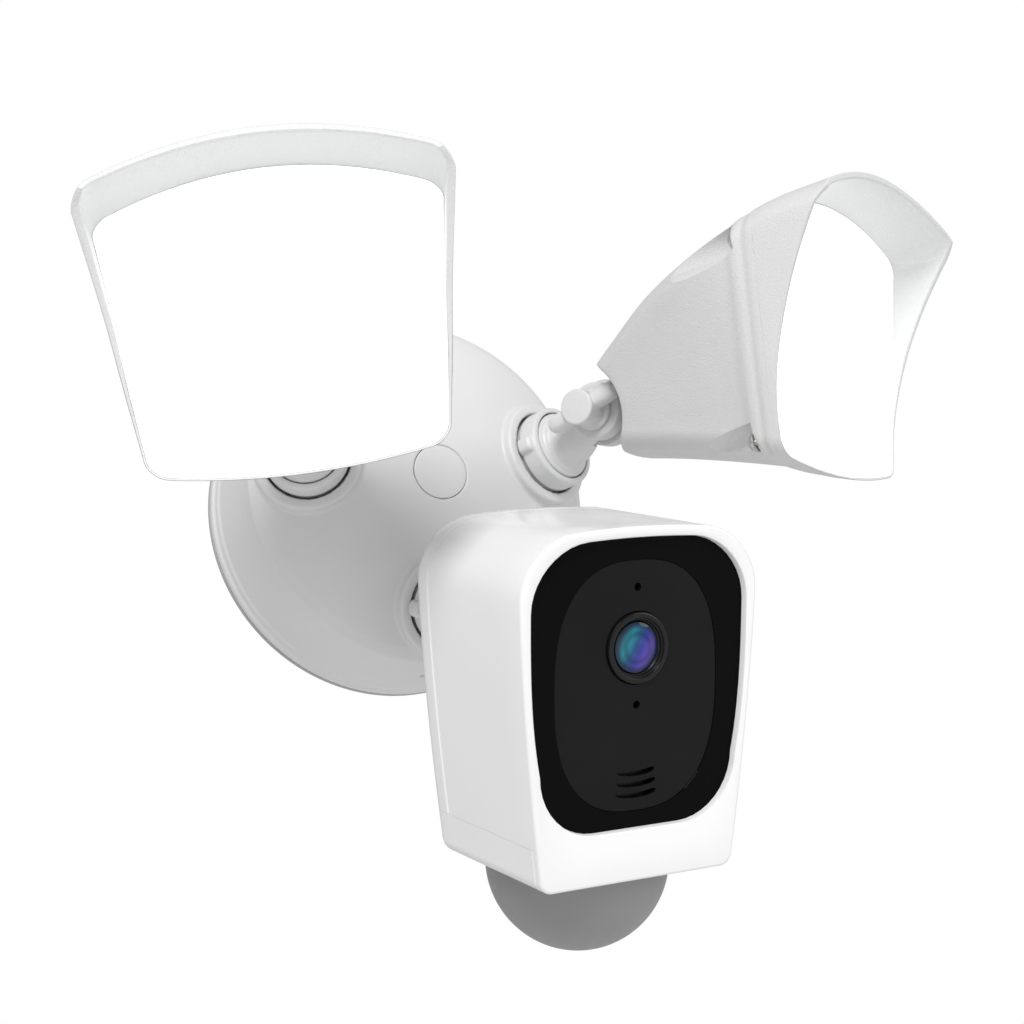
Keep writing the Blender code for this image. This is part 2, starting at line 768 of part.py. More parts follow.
def make_lamp_housing(name, material):
    side = SCREW_SIDE[name]
    rings = [lamp_loop(ahead) for ahead in (2.0, 20.0, 40.0, 60.0)]
    rings += [face_loop(-12.0), face_loop(0.0)]
    housing = make_object(f"{name}_lamp_housing", lofted(rings), material, head_frame(name))
    cavity = [lamp_loop(24.0, 5.0, 4.0), lamp_loop(56.0, 10.0, 7.0)]
    cut(housing, lofted([*cavity, face_loop(LENS_SEAT + OVERRUN, 11.0, 8.0)]))
    mouth = [face_loop(offset, 2.8, LENS_CORNER) for offset in (LENS_SEAT, OVERRUN)]
    cut(housing, lofted(mouth))
    clearance = along_x(turned([(REAR_CLEARANCE, -30.0), (REAR_CLEARANCE, 30.0)]), 1)
    cut(housing, moved(clearance, y=-REAR_CLEARANCE_DROP))
    web = block((-side * LUG_THICKNESS, -8.5, 4.0), (-side * 0.15, 8.5, 22.0))
    join(housing, web, hinge_lug(side))
    cut(housing, hinge_bore(side))
    for x, y in LAMP_SCREW_SPOTS:
        end = face_ahead(y, SCOOP_END)
        scoop = turned([(SCOOP_RADIUS, SCOOP_START), (SCOOP_RADIUS, end)], 16)
        hole = turned([(LAMP_SCREW_RADIUS + GAP, end - OVERRUN), (LAMP_SCREW_RADIUS + GAP, 110)], 8)
        cut(housing, moved(scoop, x=x, y=y), moved(hole, x=x, y=y))
    return housing


def make_lamp_hood(name, material):
    """The front frame: a collar with the lens lip, drawn out into the visor at the top."""
    lip = LAMP_WALL + 2.0
    inner_corner = 4.0
    loops = [
        face_loop(GAP),
        hood_loop(0.0),
        hood_loop(0.5),
        hood_loop(1.0),
        hood_loop(1.0, LAMP_WALL, inner_corner),
        hood_loop(0.5, LAMP_WALL, inner_corner),
        face_loop(HOOD_LIP, LAMP_WALL, inner_corner),
        face_loop(HOOD_LIP, lip, LENS_CORNER),
        face_loop(GAP, lip, LENS_CORNER),
    ]
    hood = make_object(f"{name}_lamp_hood", ring_lofted(loops), material, head_frame(name))
    for x, y in LAMP_SCREW_SPOTS:
        low, high = face_ahead(y, -OVERRUN), face_ahead(y, HOOD_LIP + OVERRUN)
        hole = turned([(LAMP_SCREW_RADIUS + GAP, low), (LAMP_SCREW_RADIUS + GAP, high)], 8)
        cut(hood, moved(hole, x=x, y=y))
    return hood


def make_lamp_lens(name, material):
    mesh = lofted([face_loop(offset, 3.6, LENS_CORNER) for offset in (LENS_SEAT + 1.2, 0.0)])
    return make_object(f"{name}_lamp_lens", mesh, material, head_frame(name))


def make_lamp_gasket(name, material):
    low, high = LENS_SEAT + GAP, LENS_SEAT + 0.9
    loops = [
        face_loop(low, 3.7, LENS_CORNER),
        face_loop(high, 3.7, LENS_CORNER),
        face_loop(high, 7.5, LENS_CORNER),
        face_loop(low, 7.5, LENS_CORNER),
    ]
    return make_object(f"{name}_lamp_gasket", ring_lofted(loops), material, head_frame(name))


def make_reflector(name, material):
    """An open tray that flares from the board of LEDs towards the lens."""
    front = LENS_SEAT - 2 * GAP
    outside = [lamp_loop(58.0, 15.0, 8.0), face_loop(front, 12.0, 8.0)]
    inside = [lamp_loop(59.0, 16.2, 8.0), face_loop(front + OVERRUN, 13.0, 8.0)]
    reflector = make_object(f"{name}_reflector", lofted(outside), material, head_frame(name))
    cut(reflector, lofted(inside))
    return reflector


def make_led_board(name, material):
    mesh = lofted([lamp_loop(ahead, 13.0, 8.0) for ahead in (54.0, 55.6)])
    return make_object(f"{name}_led_board", mesh, material, head_frame(name))


def make_lamp_screws(name, material):
    for number, (x, y) in enumerate(LAMP_SCREW_SPOTS, start=1):
        seat = face_ahead(y, SCOOP_END) - GAP
        tip = face_ahead(y, HOOD_LIP) - 2 * GAP
        profile = [(LAMP_SCREW_RADIUS, tip), (LAMP_SCREW_RADIUS, seat), (2.9, seat), (2.6, seat - 2.2)]
        mesh = moved(turned(profile, 10), x=x, y=y)
        make_object(f"{name}_lamp_screw_{number}", mesh, material, head_frame(name))


def make_lamp(name, parts):
    make_lamp_housing(name, parts["white"])
    make_lamp_hood(name, parts["white"])
    make_lamp_lens(name, parts["diffuser"])
    make_lamp_gasket(name, parts["rubber"])
    make_reflector(name, parts["reflector"])
    make_led_board(name, parts["board"])
    make_lamp_screws(name, parts["steel"])


# ---------------------------------------------------------------- camera


def make_body_object(name, mesh, material):
    """A piece of the camera, drawn about the lens and stored about the hinge."""
    return make_object(name, in_body(mesh), material, head_frame("camera"))


def in_body(mesh):
    """Moves a mesh from the middle of the lens to the hinge's frame."""
    return moved(mesh, y=-LENS_BELOW, z=LENS_AHEAD)


def body_solid(front, back, inset):
    return lofted([body_loop(front, inset), body_loop(back, inset)])


def below_seam(back, front):
    """Everything of the body under the bottom cover's seam, between two distances."""
    return in_body(block((-60, BODY_BOTTOM - 5, back), (60, BOTTOM_SEAM, front)))


def make_front_shell(material):
    loops = [
        body_loop(BEZEL_FRONT, 2.0),
        body_loop(BEZEL_FRONT - 0.6, 0.8),
        body_loop(BEZEL_FRONT - 2.0, 0.0),
        body_loop(BODY_SEAM),
    ]
    shell = make_body_object("front_shell", lofted(loops), material)
    cut(shell, in_body(body_solid(BEZEL_BACK, BODY_SEAM - OVERRUN, BODY_WALL)))
    cut(shell, in_body(lofted([panel_loop(-2.0), panel_loop(BEZEL_FRONT + OVERRUN, 0.6)])))
    cut(shell, below_seam(BODY_SEAM - OVERRUN, -1.0))
    return shell


def make_rear_cover(material):
    side = SCREW_SIDE["camera"]
    loops = [body_loop(BODY_SEAM - GAP)] + [body_loop(ahead, inset) for ahead, inset in REAR_ROUNDING]
    cover = make_body_object("rear_cover", lofted(loops), material)
    cut(cover, in_body(lofted([body_loop(BODY_SEAM + 2, 2.5), body_loop(BODY_REAR + 2.6, 7.0)])))
    cut(cover, below_seam(BODY_REAR - OVERRUN, BODY_SEAM + 6))
    neck_front = LENS_AHEAD + BODY_REAR + 1.0
    middle = -side * (LUG_THICKNESS + 0.15) / 2
    neck = [
        [Vector((0.33 * p.x + middle, p.y, 2.0)) for p in circle(8.5, 0, 16)],
        [Vector((0.31 * p.x + middle, p.y, 9.0)) for p in circle(9.5, 0, 16)],
        circle(14.0, neck_front, 16),
    ]
    room = along_x(turned([(EAR_RADIUS + 1.0, -0.15), (EAR_RADIUS + 1.0, 14.0)]), side)
    join(cover, lofted(neck), hinge_lug(side))
    cut(cover, room, hinge_bore(side))
    return cover


def make_bottom_cover(material):
    loops = [body_loop(-1.0 - GAP), body_loop(BODY_SEAM)]
    loops += [body_loop(ahead, inset) for ahead, inset in REAR_ROUNDING]
    cover = make_body_object("bottom_cover", lofted(loops), material)
    cut(cover, in_body(block((-60, BOTTOM_SEAM - GAP, -80), (60, 60, 20))))
    cut(cover, in_body(block((-29, BODY_BOTTOM + 2.6, BODY_REAR + 5), (29, 0, -4))))
    opening = turned([(PIR_RADIUS - 4.0, -70), (PIR_RADIUS - 4.0, -40)])
    placed(opening, Matrix.Rotation(-math.pi / 2, 4, "X"))
    cut(cover, in_body(moved(opening, z=PIR_CENTRE[1])))
    return cover


def make_front_panel(material):
    front = BEZEL_BACK - GAP
    back = front - PANEL_THICKNESS
    panel = make_body_object(
        "front_panel", lofted([panel_loop(back, PANEL_LAP), panel_loop(front, PANEL_LAP)]), material
    )
    cut(panel, in_body(turned([(BARREL_RADIUS + GAP, -6), (BARREL_RADIUS + GAP, 4)])))
    for y in SENSOR_HEIGHTS.values():
        cut(panel, in_body(moved(turned([(1.2, -6), (1.2, 4)], 12), y=y)))
    for y, half in SPEAKER_SLOTS:
        cut(panel, in_body(block((-half, y - 0.6, -6), (half, y + 0.6, 4))))
    return panel


def make_camera_lens(black, glass):
    profile = [
        (7.9, -14.0),
        (BARREL_RADIUS, -14.0),
        (BARREL_RADIUS, -0.6),
        (BARREL_RADIUS - 0.8, 0.2),
        (BARREL_RADIUS - 1.8, 0.2),
        (7.9, -1.6),
    ]
    make_body_object("lens_barrel", turned_ring(profile), black)
    dome = [(7.5, -6.0), (7.5, -2.4), (6.6, -1.3), (5.0, -0.5), (2.6, -0.05)]
    make_body_object("lens_glass", turned(dome, 24), glass)


def make_camera_insides(parts):
    behind_panel = BEZEL_BACK - PANEL_THICKNESS - 2 * GAP
    speaker = [(9.5, -10.0), (9.5, -5.5), (8.0, -4.4), (8.0, behind_panel)]
    make_body_object("main_board", block((-28, -50, -20.0), (28, 22, -18.4)), parts["board"])
    make_body_object("image_sensor", block((-8, -8, -18.1), (8, 8, -14.3)), parts["black"])
    make_body_object("speaker", moved(turned(speaker, 20), y=-40), parts["black"])
    for name, y in SENSOR_HEIGHTS.items():
        can = moved(turned([(2.4, behind_panel - 2.6), (2.4, behind_panel)], 12), y=y)
        make_body_object(name, can, parts["black"])


def dome_profile(radius, height, degrees):
    """A quarter circle up to its equator at a height, with a point at each so many degrees."""
    angles = [math.radians(angle) for angle in range(-80, 1, degrees)]
    return [(radius * math.cos(a), height + radius * math.sin(a)) for a in angles]


def make_pir(dome_material, steel):
    """The motion sensor's dome under the body, and the sensor inside it."""
    height, ahead = PIR_CENTRE
    rim = BODY_BOTTOM - GAP
    outer = dome_profile(PIR_RADIUS, height, 16) + [(PIR_RADIUS - 0.4, rim)]
    frame = Matrix.Rotation(-math.pi / 2, 4, "X")
    dome = make_body_object(
        "pir_dome", moved(placed(turned(outer, 32), frame), z=ahead), dome_material
    )
    inner = dome_profile(PIR_RADIUS - PIR_WALL, height, 20)
    hollow = turned([*inner, (PIR_RADIUS - PIR_WALL, rim + OVERRUN)], 24)
    cut(dome, in_body(moved(placed(hollow, frame), z=ahead)))
    can = [(4.6, BODY_BOTTOM - 1.0), (4.6, BODY_BOTTOM + 7.0)]
    make_body_object("pir_sensor", moved(placed(turned(can, 16), frame), z=ahead), steel)


def make_camera(parts):
    make_front_shell(parts["white"])
    make_rear_cover(parts["white"])
    make_bottom_cover(parts["white"])
    make_front_panel(parts["black"])
    make_camera_lens(parts["black"], parts["glass"])
    make_camera_insides(parts)
    make_pir(parts["frosted"], parts["steel"])


# ---------------------------------------------------------------- whole


def main():
    clear_scene()
    parts = {
        "white": make_material("white_paint", WHITE, 0.35),
        "rubber": make_material("rubber", GREY, 0.8),
        "steel": make_material("steel", STEEL, 0.35, 1.0),
        "reflector": make_material("reflector", ALUMINIUM, 0.25, 1.0),
        "board": make_material("circuit_board", BOARD_GREEN, 0.5),
        "diffuser": make_material("diffuser", (0.95, 0.97, 0.97), 0.4),
        "black": make_material("black_plastic", BLACK, 0.2),
        "glass": make_material("lens_glass", (0.02, 0.05, 0.10), 0.05),
        "frosted": make_material("frosted_plastic", GREY, 0.5),
    }
    make_canopy(parts["white"])
    make_wall_gasket(parts["rubber"])
    make_mounting_plate(parts["steel"])
    make_cable_grommet(parts["rubber"])
    make_centre_bolt(parts["steel"])
    make_centre_plug(parts["white"])
    make_driver(parts["board"], parts["black"])
    for name in SOCKET_ANGLES:
        make_arm_set(name, parts)
    for name in ("left", "right"):
        make_lamp(name, parts)
    make_camera(parts)


main()
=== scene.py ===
"""Looks of the floodlight security camera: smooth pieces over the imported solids, materials and light.

Lengths are in millimetres in the frame of each joint, with x right, y up and z out of the piece,
until a piece is placed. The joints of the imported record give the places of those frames.
"""

import json
import math

import bmesh
import bpy
from mathutils import Matrix, Vector


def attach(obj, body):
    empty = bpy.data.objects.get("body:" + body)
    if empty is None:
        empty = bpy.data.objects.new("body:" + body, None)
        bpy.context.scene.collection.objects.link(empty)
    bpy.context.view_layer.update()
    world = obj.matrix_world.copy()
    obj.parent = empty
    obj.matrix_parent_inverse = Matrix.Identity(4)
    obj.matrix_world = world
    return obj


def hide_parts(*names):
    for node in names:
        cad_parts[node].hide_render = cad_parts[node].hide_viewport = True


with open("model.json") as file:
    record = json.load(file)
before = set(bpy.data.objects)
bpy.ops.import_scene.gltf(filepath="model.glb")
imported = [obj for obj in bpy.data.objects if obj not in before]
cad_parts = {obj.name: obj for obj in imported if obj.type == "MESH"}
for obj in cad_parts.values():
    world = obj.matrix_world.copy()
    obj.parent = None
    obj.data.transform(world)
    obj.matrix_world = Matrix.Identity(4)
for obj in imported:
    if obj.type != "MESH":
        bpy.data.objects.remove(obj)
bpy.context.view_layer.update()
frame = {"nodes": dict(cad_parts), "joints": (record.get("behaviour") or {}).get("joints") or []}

MM = 0.001
GAP = 0.3
UNITS = ("left", "right", "camera")
LAMPS = ("left", "right")
SCREW_SIDE = {"left": 1, "right": -1, "camera": 1}
# how far each head's forward direction is turned about the hinge from level, in degrees
REST_PITCH = {"left": 1.4, "right": 0.0, "camera": -22.53}

# canopy
CANOPY_RADIUS = 64.0
RIDGE_RADIUS = 61.3
RIDGE_DEPTH = 40.1
CROWN = 59.2
DOME_POWER = 2.4
CANOPY_WALL = 2.6
PLUG_RADIUS = 9.4
PLUG_CUP_DEPTH = 8.8
PLUG_CUP_FLOOR = 2.4
BOLT_HOLE = 2.8
BOSS_RADIUS = 18.5
BOSS_BORE = 14.8
BOSS_BORE_DEPTH = 6.5
SEAL_INNER_RADIUS = 52.0
SEAL_THICKNESS = 2.0
PLATE_RADIUS = 59.5
PLATE_THICKNESS = 2.5
GROMMET_DROP = 24.0  # below the middle of the plate

# arms
STEM_RADIUS = 8.5
NUT_RADIUS = 14.2
NUT_FRONT = 7.7
FLANGE_RADIUS = 11.7
EAR_RADIUS = 9.8
EAR_THICKNESS = 6.6
LUG_RADIUS = 11.3
LUG_THICKNESS = 6.2
HINGE_BORE = 3.0
HINGE_PLAY = 0.15  # between the ear or the lug and the plane where they meet
WIRE_BORE = 3.6
NECK_RADIUS = 8.3
NECK_START = 12.5  # from the socket
WING_REACH = 14.6
WING_TURN = -12.5  # degrees about the hinge

# lamp head: distance ahead of the hinge, half width at top and bottom, crown and belly heights
LAMP_STATIONS = (
    (2.0, 18.0, 15.0, 12.1, -17.6),
    (20.0, 27.3, 21.0, 20.5, -22.7),
    (40.0, 37.0, 27.0, 29.6, -29.5),
    (62.0, 46.7, 34.5, 35.8, -38.0),
    (81.0, 51.5, 42.0, 39.9, -46.7),
    (96.0, 52.7, 42.6, 42.2, -49.0),
    (116.5, 53.0, 43.0, 42.0, -51.5),
)
ARCH_TOP = 0.24
ARCH_BOTTOM = 0.15
LAMP_CORNER = 6.5
LENS_CORNER = 14.0
LAMP_WALL = 2.5
HOUSING_INSET = 0.8  # how far the housing stands back behind the band round its front edge
HOOD_INNER_CORNER = 4.5
LIP_INSET = 4.5
SEAT_INSET = 2.8
# the plane where the housing meets the hood: it leans forward, so that the lens faces down a little
FACE_FOOT = 76.5  # distance ahead of the hinge at the belly
FACE_LEVEL = -47.0  # height of the belly there
FACE_LEAN = 0.2
# distances from that plane, along the head
LENS_SEAT = -3.5
HOOD_LIP = 1.8
BAND_START = -11.5
SCOOP_END = -7.5
HOOD_EDGE = (81.0, 35.5, -42.0, 30.0, 1.8)  # foot, overhang, its bottom and top heights, curve
REAR_CLEARANCE = 19.0
REAR_CLEARANCE_DROP = 4.0
SCREW_SPOTS = ((-46.6, 24.5), (46.6, 24.5), (-37.6, -35.4), (37.6, -35.4))
SCREW_HOLE = 1.5
UPPER_SCOOP_RADIUS = 5.6
LOWER_SCOOP_RADIUS = 3.4
HOLLOW = (31.0, -33.0, 6.0, 4.3)  # a lower scoop's length and height, its depth and half height

# camera body, from the middle of the lens
LENS_AHEAD = 85.6
LENS_BELOW = 1.1
BODY_TOP = 35.3
BODY_BOTTOM = -67.6
BODY_HALF_WIDTH = 40.7
BODY_FOOT_HALF_WIDTH = 33.0
BODY_SHOULDER = 18.0
BODY_TOP_CORNER = 18.0
BODY_FOOT_CORNER = 4.0
BODY_ARCH = 3.0  # how far the top falls from its middle to its sides
BODY_WALL = 1.2
LEDGE_BACK = -1.6  # the ledge that the panel rests on
BEZEL_FRONT = 1.6
BEZEL_BACK = -0.4
BEZEL_ROUND = 1.0
BODY_SEAM = -52.0
BODY_REAR = -64.5
BODY_REAR_LEAN = 3.5
BOTTOM_SEAM = -54.8
PANEL_TOP = 32.0
PANEL_BOTTOM = -52.3
PANEL_HALF_WIDTH = 37.0
PANEL_FOOT_HALF_WIDTH = 28.0
PANEL_CORNER = 19.0
DISH = (28.0, 36.5, -11.0)  # half width, half height, middle height
DISH_SQUARENESS = 0.78
PINHOLES = (17.6, -16.6)  # heights of the openings for the light sensor and the microphone
PINHOLE_RADIUS = 1.2
SPEAKER_SLOTS = ((-36.6, 6.6), (-39.8, 7.0), (-43.0, 7.2))  # height and half length
BARREL_RADIUS = 10.4
GLASS_RADIUS = 7.3
GLASS_BULGE = 26.0
PIR_RADIUS = 27.8
PIR_WALL = 1.6
PIR_CENTRE = (-68.5, -31.5)  # height, and distance ahead of the lens

# light
LAMP_GLOW = 0.8  # faint enough for the visor above the lens to keep its shade
LENS_REFLECTION_GLOW = 0.45  # painted reflections of the coatings inside the lens, given as emission
AMBIENT = 0.54
FLOOR_HEIGHT = -0.62  # metres

# viewpoint, in metres, as the photograph was taken from
VIEW_LENS = 73.08
VIEW_POSITION = (-0.27475, -0.67147, -0.19598)
VIEW_BACK = (-0.4238, -0.8686, -0.2568)
VIEW_UP = (0.0258, -0.2950, 0.9552)


# ---------------------------------------------------------------- frames


def joint(name):
    """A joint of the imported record."""
    return next(j for j in frame["joints"] if j["name"] == name)


def frame_of(right, up, out, origin):
    """A frame from its three directions and its origin."""
    turn = Matrix((right, up, out)).transposed().to_4x4()
    return Matrix.Translation(origin) @ turn


def canopy_frame():
    """Middle of the canopy's back, with z out from the wall."""
    return frame_of(Vector((1, 0, 0)), Vector((0, 0, 1)), Vector((0, -1, 0)), Vector((0, 0, 0)))


def socket_frame(unit):
    """Middle of an arm's boss face, with z along its stem, in millimetres."""
    swivel = joint(f"{unit}_swivel")
    out = Vector(swivel["axis"]).normalized()
    right = Vector((0, 0, 1)).cross(out).normalized()
    return frame_of(right, out.cross(right), out, Vector(swivel["pos_m"]) / MM)


def head_frame(unit):
    """A head's hinge, with x along the hinge and z the way that the head faces."""
    tilt = joint(f"{unit}_tilt")
    right = Vector(tilt["axis"]).normalized()
    level = Vector((0, 0, 1)).cross(right).normalized() * -1
    pitch = math.radians(REST_PITCH[unit])
    up = right.cross(level) * -1
    out = math.cos(pitch) * level + math.sin(pitch) * up
    return frame_of(right, out.cross(right), out, Vector(tilt["pos_m"]) / MM)


# ---------------------------------------------------------------- curves and outlines

CORNER_STEPS = 10
SIDE_STEPS = 14
EDGE_STEPS = 20


def eased(stations, at):
    """The values of a row of stations at a distance, on a smooth curve through them."""
    index = 1
    while index < len(stations) - 1 and stations[index][0] < at:
        index += 1
    low, high = stations[index - 1], stations[index]
    before = stations[max(index - 2, 0)]
    after = stations[min(index + 1, len(stations) - 1)]
    span = high[0] - low[0]
    t = (at - low[0]) / span
    values = []
    for k in range(1, len(low)):
        slope_low = (high[k] - before[k]) / (high[0] - before[0]) * span
        slope_high = (after[k] - low[k]) / (after[0] - low[0]) * span
        values.append(
            (2 * t**3 - 3 * t**2 + 1) * low[k]
            + (t**3 - 2 * t**2 + t) * slope_low
            + (3 * t**2 - 2 * t**3) * high[k]
            + (t**3 - t**2) * slope_high
        )
    return values


def step(low, high, at):
    """A smooth step from 0 to 1."""
    share = min(max((at - low) / (high - low), 0.0), 1.0)
    return share * share * (3 - 2 * share)


def arc(centre_x, centre_y, radius, start):
    """A quarter circle from an angle in degrees, anticlockwise."""
    angles = [math.radians(start + 90 * i / CORNER_STEPS) for i in range(CORNER_STEPS + 1)]
    return [(centre_x + radius * math.cos(a), centre_y + radius * math.sin(a)) for a in angles]


def between(start, end, steps):
    """The points that divide a line into equal steps, without its ends."""
    shares = [i / steps for i in range(1, steps)]
    return [tuple(a + share * (b - a) for a, b in zip(start, end)) for share in shares]


def rounded_outline(half_width_at, bottom, top, foot_corner, top_corner):
    """(x, y) round a shape whose half width depends on the height, with rounded corners."""
    foot = bottom + foot_corner
    shoulder = top - top_corner
    right = arc(half_width_at(foot) - foot_corner, foot, foot_corner, -90)
    for i in range(1, SIDE_STEPS):
        y = foot + (shoulder - foot) * i / SIDE_STEPS
        right.append((half_width_at(y), y))
    right += arc(half_width_at(shoulder) - top_corner, shoulder, top_corner, 0)
    left = [(-x, y) for x, y in reversed(right)]
    top_edge = between(right[-1], left[0], EDGE_STEPS)
    bottom_edge = between(left[-1], right[0], EDGE_STEPS)
    return right + top_edge + left + bottom_edge


def filleted(profile, ring=False, steps=4):
    """(radius, height) points, where a third number rounds that corner to such a radius."""
    count = len(profile)
    points = []
    for i, (radius, height, *fillet) in enumerate(profile):
        if not fillet or (not ring and i in (0, count - 1)):
            points.append((radius, height))
            continue
        here = Vector((radius, height))
        to_last = (Vector(profile[i - 1][:2]) - here).normalized()
        to_next = (Vector(profile[(i + 1) % count][:2]) - here).normalized()
        reach = fillet[0] / math.tan(to_last.angle(to_next) / 2)
        for k in range(steps + 1):
            t = k / steps
            offset = (1 - t) ** 2 * reach * to_last + t**2 * reach * to_next
            points.append(tuple(here + offset))
    return points


# ---------------------------------------------------------------- meshes


def bridge(mesh, loop, other):
    """A band of faces between two loops of as many points."""
    count = len(loop)
    for i in range(count):
        j = (i + 1) % count
        mesh.faces.new((loop[i], loop[j], other[j], other[i]))


def strip(mesh, loops):
    """An open tube through rings of points."""
    rings = [[mesh.verts.new(point) for point in loop] for loop in loops]
    for ring, following in zip(rings, rings[1:]):
        bridge(mesh, ring, following)
    return rings


def lofted(loops):
    """A closed solid through rings of points, capped flat at both ends."""
    mesh = bmesh.new()
    rings = strip(mesh, loops)
    mesh.faces.new(reversed(rings[0]))
    mesh.faces.new(rings[-1])
    bmesh.ops.recalc_face_normals(mesh, faces=mesh.faces)
    return mesh


def ring_lofted(loops):
    """A closed ring-shaped solid: the last loop joins the first."""
    mesh = bmesh.new()
    rings = strip(mesh, loops)
    bridge(mesh, rings[-1], rings[0])
    bmesh.ops.recalc_face_normals(mesh, faces=mesh.faces)
    return mesh


def circle(radius, height, segments):
    turns = [2 * math.pi * i / segments for i in range(segments)]
    return [Vector((radius * math.cos(a), radius * math.sin(a), height)) for a in turns]


def turned(profile, segments=96):
    """A solid of revolution about z, from (radius, height) points."""
    return lofted([circle(radius, height, segments) for radius, height in filleted(profile)])


def rod(radius, start, end, segments=96):
    """A cylinder about z."""
    return turned([(radius, start), (radius, end)], segments)


def turned_ring(profile, segments=96):
    """A ring of revolution about z: the last point of its section joins the first."""
    points = filleted(profile, ring=True)
    return ring_lofted([circle(radius, height, segments) for radius, height in points])


def oval(middle_x, middle_y, half_x, half_y, height, power=2.6, segments=40):
    """A rounded rectangle, as a superellipse."""
    points = []
    for i in range(segments):
        a = 2 * math.pi * i / segments
        cos, sin = math.cos(a), math.sin(a)
        x = middle_x + half_x * math.copysign(abs(cos) ** (2 / power), cos)
        y = middle_y + half_y * math.copysign(abs(sin) ** (2 / power), sin)
        points.append(Vector((x, y, height)))
    return points


def block(low, high, bevel=0.0):
    """A box between two corners, with its edges rounded where a bevel is given."""
    (x0, y0, z0), (x1, y1, z1) = low, high
    foot = [Vector((x, y, z0)) for x, y in ((x0, y0), (x1, y0), (x1, y1), (x0, y1))]
    mesh = lofted([foot, [Vector((p.x, p.y, z1)) for p in foot]])
    if bevel:
        bmesh.ops.bevel(mesh, geom=mesh.edges, offset=bevel, segments=4, affect="EDGES")
    return mesh


def placed(mesh, matrix):
    """The same mesh, moved by a matrix."""
    bmesh.ops.transform(mesh, matrix=matrix, verts=mesh.verts)
    return mesh


def moved(mesh, x=0.0, y=0.0, z=0.0):
    return placed(mesh, Matrix.Translation((x, y, z)))


def along_x(mesh, side):
    """Lays a mesh that was turned about z along the hinge, towards +x or -x."""
    return placed(mesh, Matrix.Rotation(side * math.pi / 2, 4, "Y"))


# ---------------------------------------------------------------- objects


def make_object(name, mesh, place):
    """An object from a mesh in millimetres of the frame it is placed in."""
    bmesh.ops.scale(mesh, vec=(MM, MM, MM), verts=mesh.verts)
    data = bpy.data.meshes.new(name)
    mesh.to_mesh(data)
    mesh.free()
    obj = bpy.data.objects.new(name, data)
    bpy.context.scene.collection.objects.link(obj)
    obj.matrix_world = Matrix.Translation(MM * place.translation) @ place.to_3x3().to_4x4()
    bpy.context.view_layer.update()
    return obj


def apply_modifiers(obj):
    """Replaces an object's mesh with what its modifiers make of it."""
    bpy.context.view_layer.update()
    graph = bpy.context.evaluated_depsgraph_get()
    result = bpy.data.meshes.new_from_object(obj.evaluated_get(graph))
    obj.modifiers.clear()
    obj.data = result


def combine(obj, mesh, operation):
    """A Boolean with a mesh that is drawn in the object's own frame."""
    tool = make_object("tool", mesh, Matrix.Identity(4))
    tool.matrix_world = obj.matrix_world
    modifier = obj.modifiers.new(operation.lower(), "BOOLEAN")
    modifier.operation = operation
    modifier.object = tool
    apply_modifiers(obj)
    bpy.data.objects.remove(tool)


def cut(obj, *meshes):
    for mesh in meshes:
        combine(obj, mesh, "DIFFERENCE")


def join(obj, *meshes):
    for mesh in meshes:
        combine(obj, mesh, "UNION")


def melt(obj, voxel, smoothing, share=1.0):
    """Rounds every edge and joint as moulding does: a fine remesh, then smoothing."""
    remesh = obj.modifiers.new("remesh", "REMESH")
    remesh.mode = "VOXEL"
    remesh.voxel_size = voxel * MM
    smooth = obj.modifiers.new("smooth", "SMOOTH")
    smooth.factor = 0.5
    smooth.iterations = smoothing
    if share < 1.0:
        obj.modifiers.new("decimate", "DECIMATE").ratio = share
    apply_modifiers(obj)


def finish_piece(obj, material, body, nodes=(), smooth_angle=32.0, level=True):
    """Shades a piece, gives it its finish, hangs it on the body it rides on and hides the imported
    nodes that it stands for.

    A level piece has its turn in its mesh, so that its box is no larger than it is.
    """
    if isinstance(nodes, str):
        nodes = (nodes,)
    if level:
        obj.data.transform(obj.matrix_world.to_3x3().to_4x4())
        obj.matrix_world = Matrix.Translation(obj.matrix_world.translation)
    obj.data.shade_smooth()
    obj.data.set_sharp_from_angle(angle=math.radians(smooth_angle))
    obj.data.materials.clear()
    obj.data.materials.append(material)
    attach(obj, body)
    if nodes:
        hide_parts(*nodes)
    return obj


# ---------------------------------------------------------------- materials


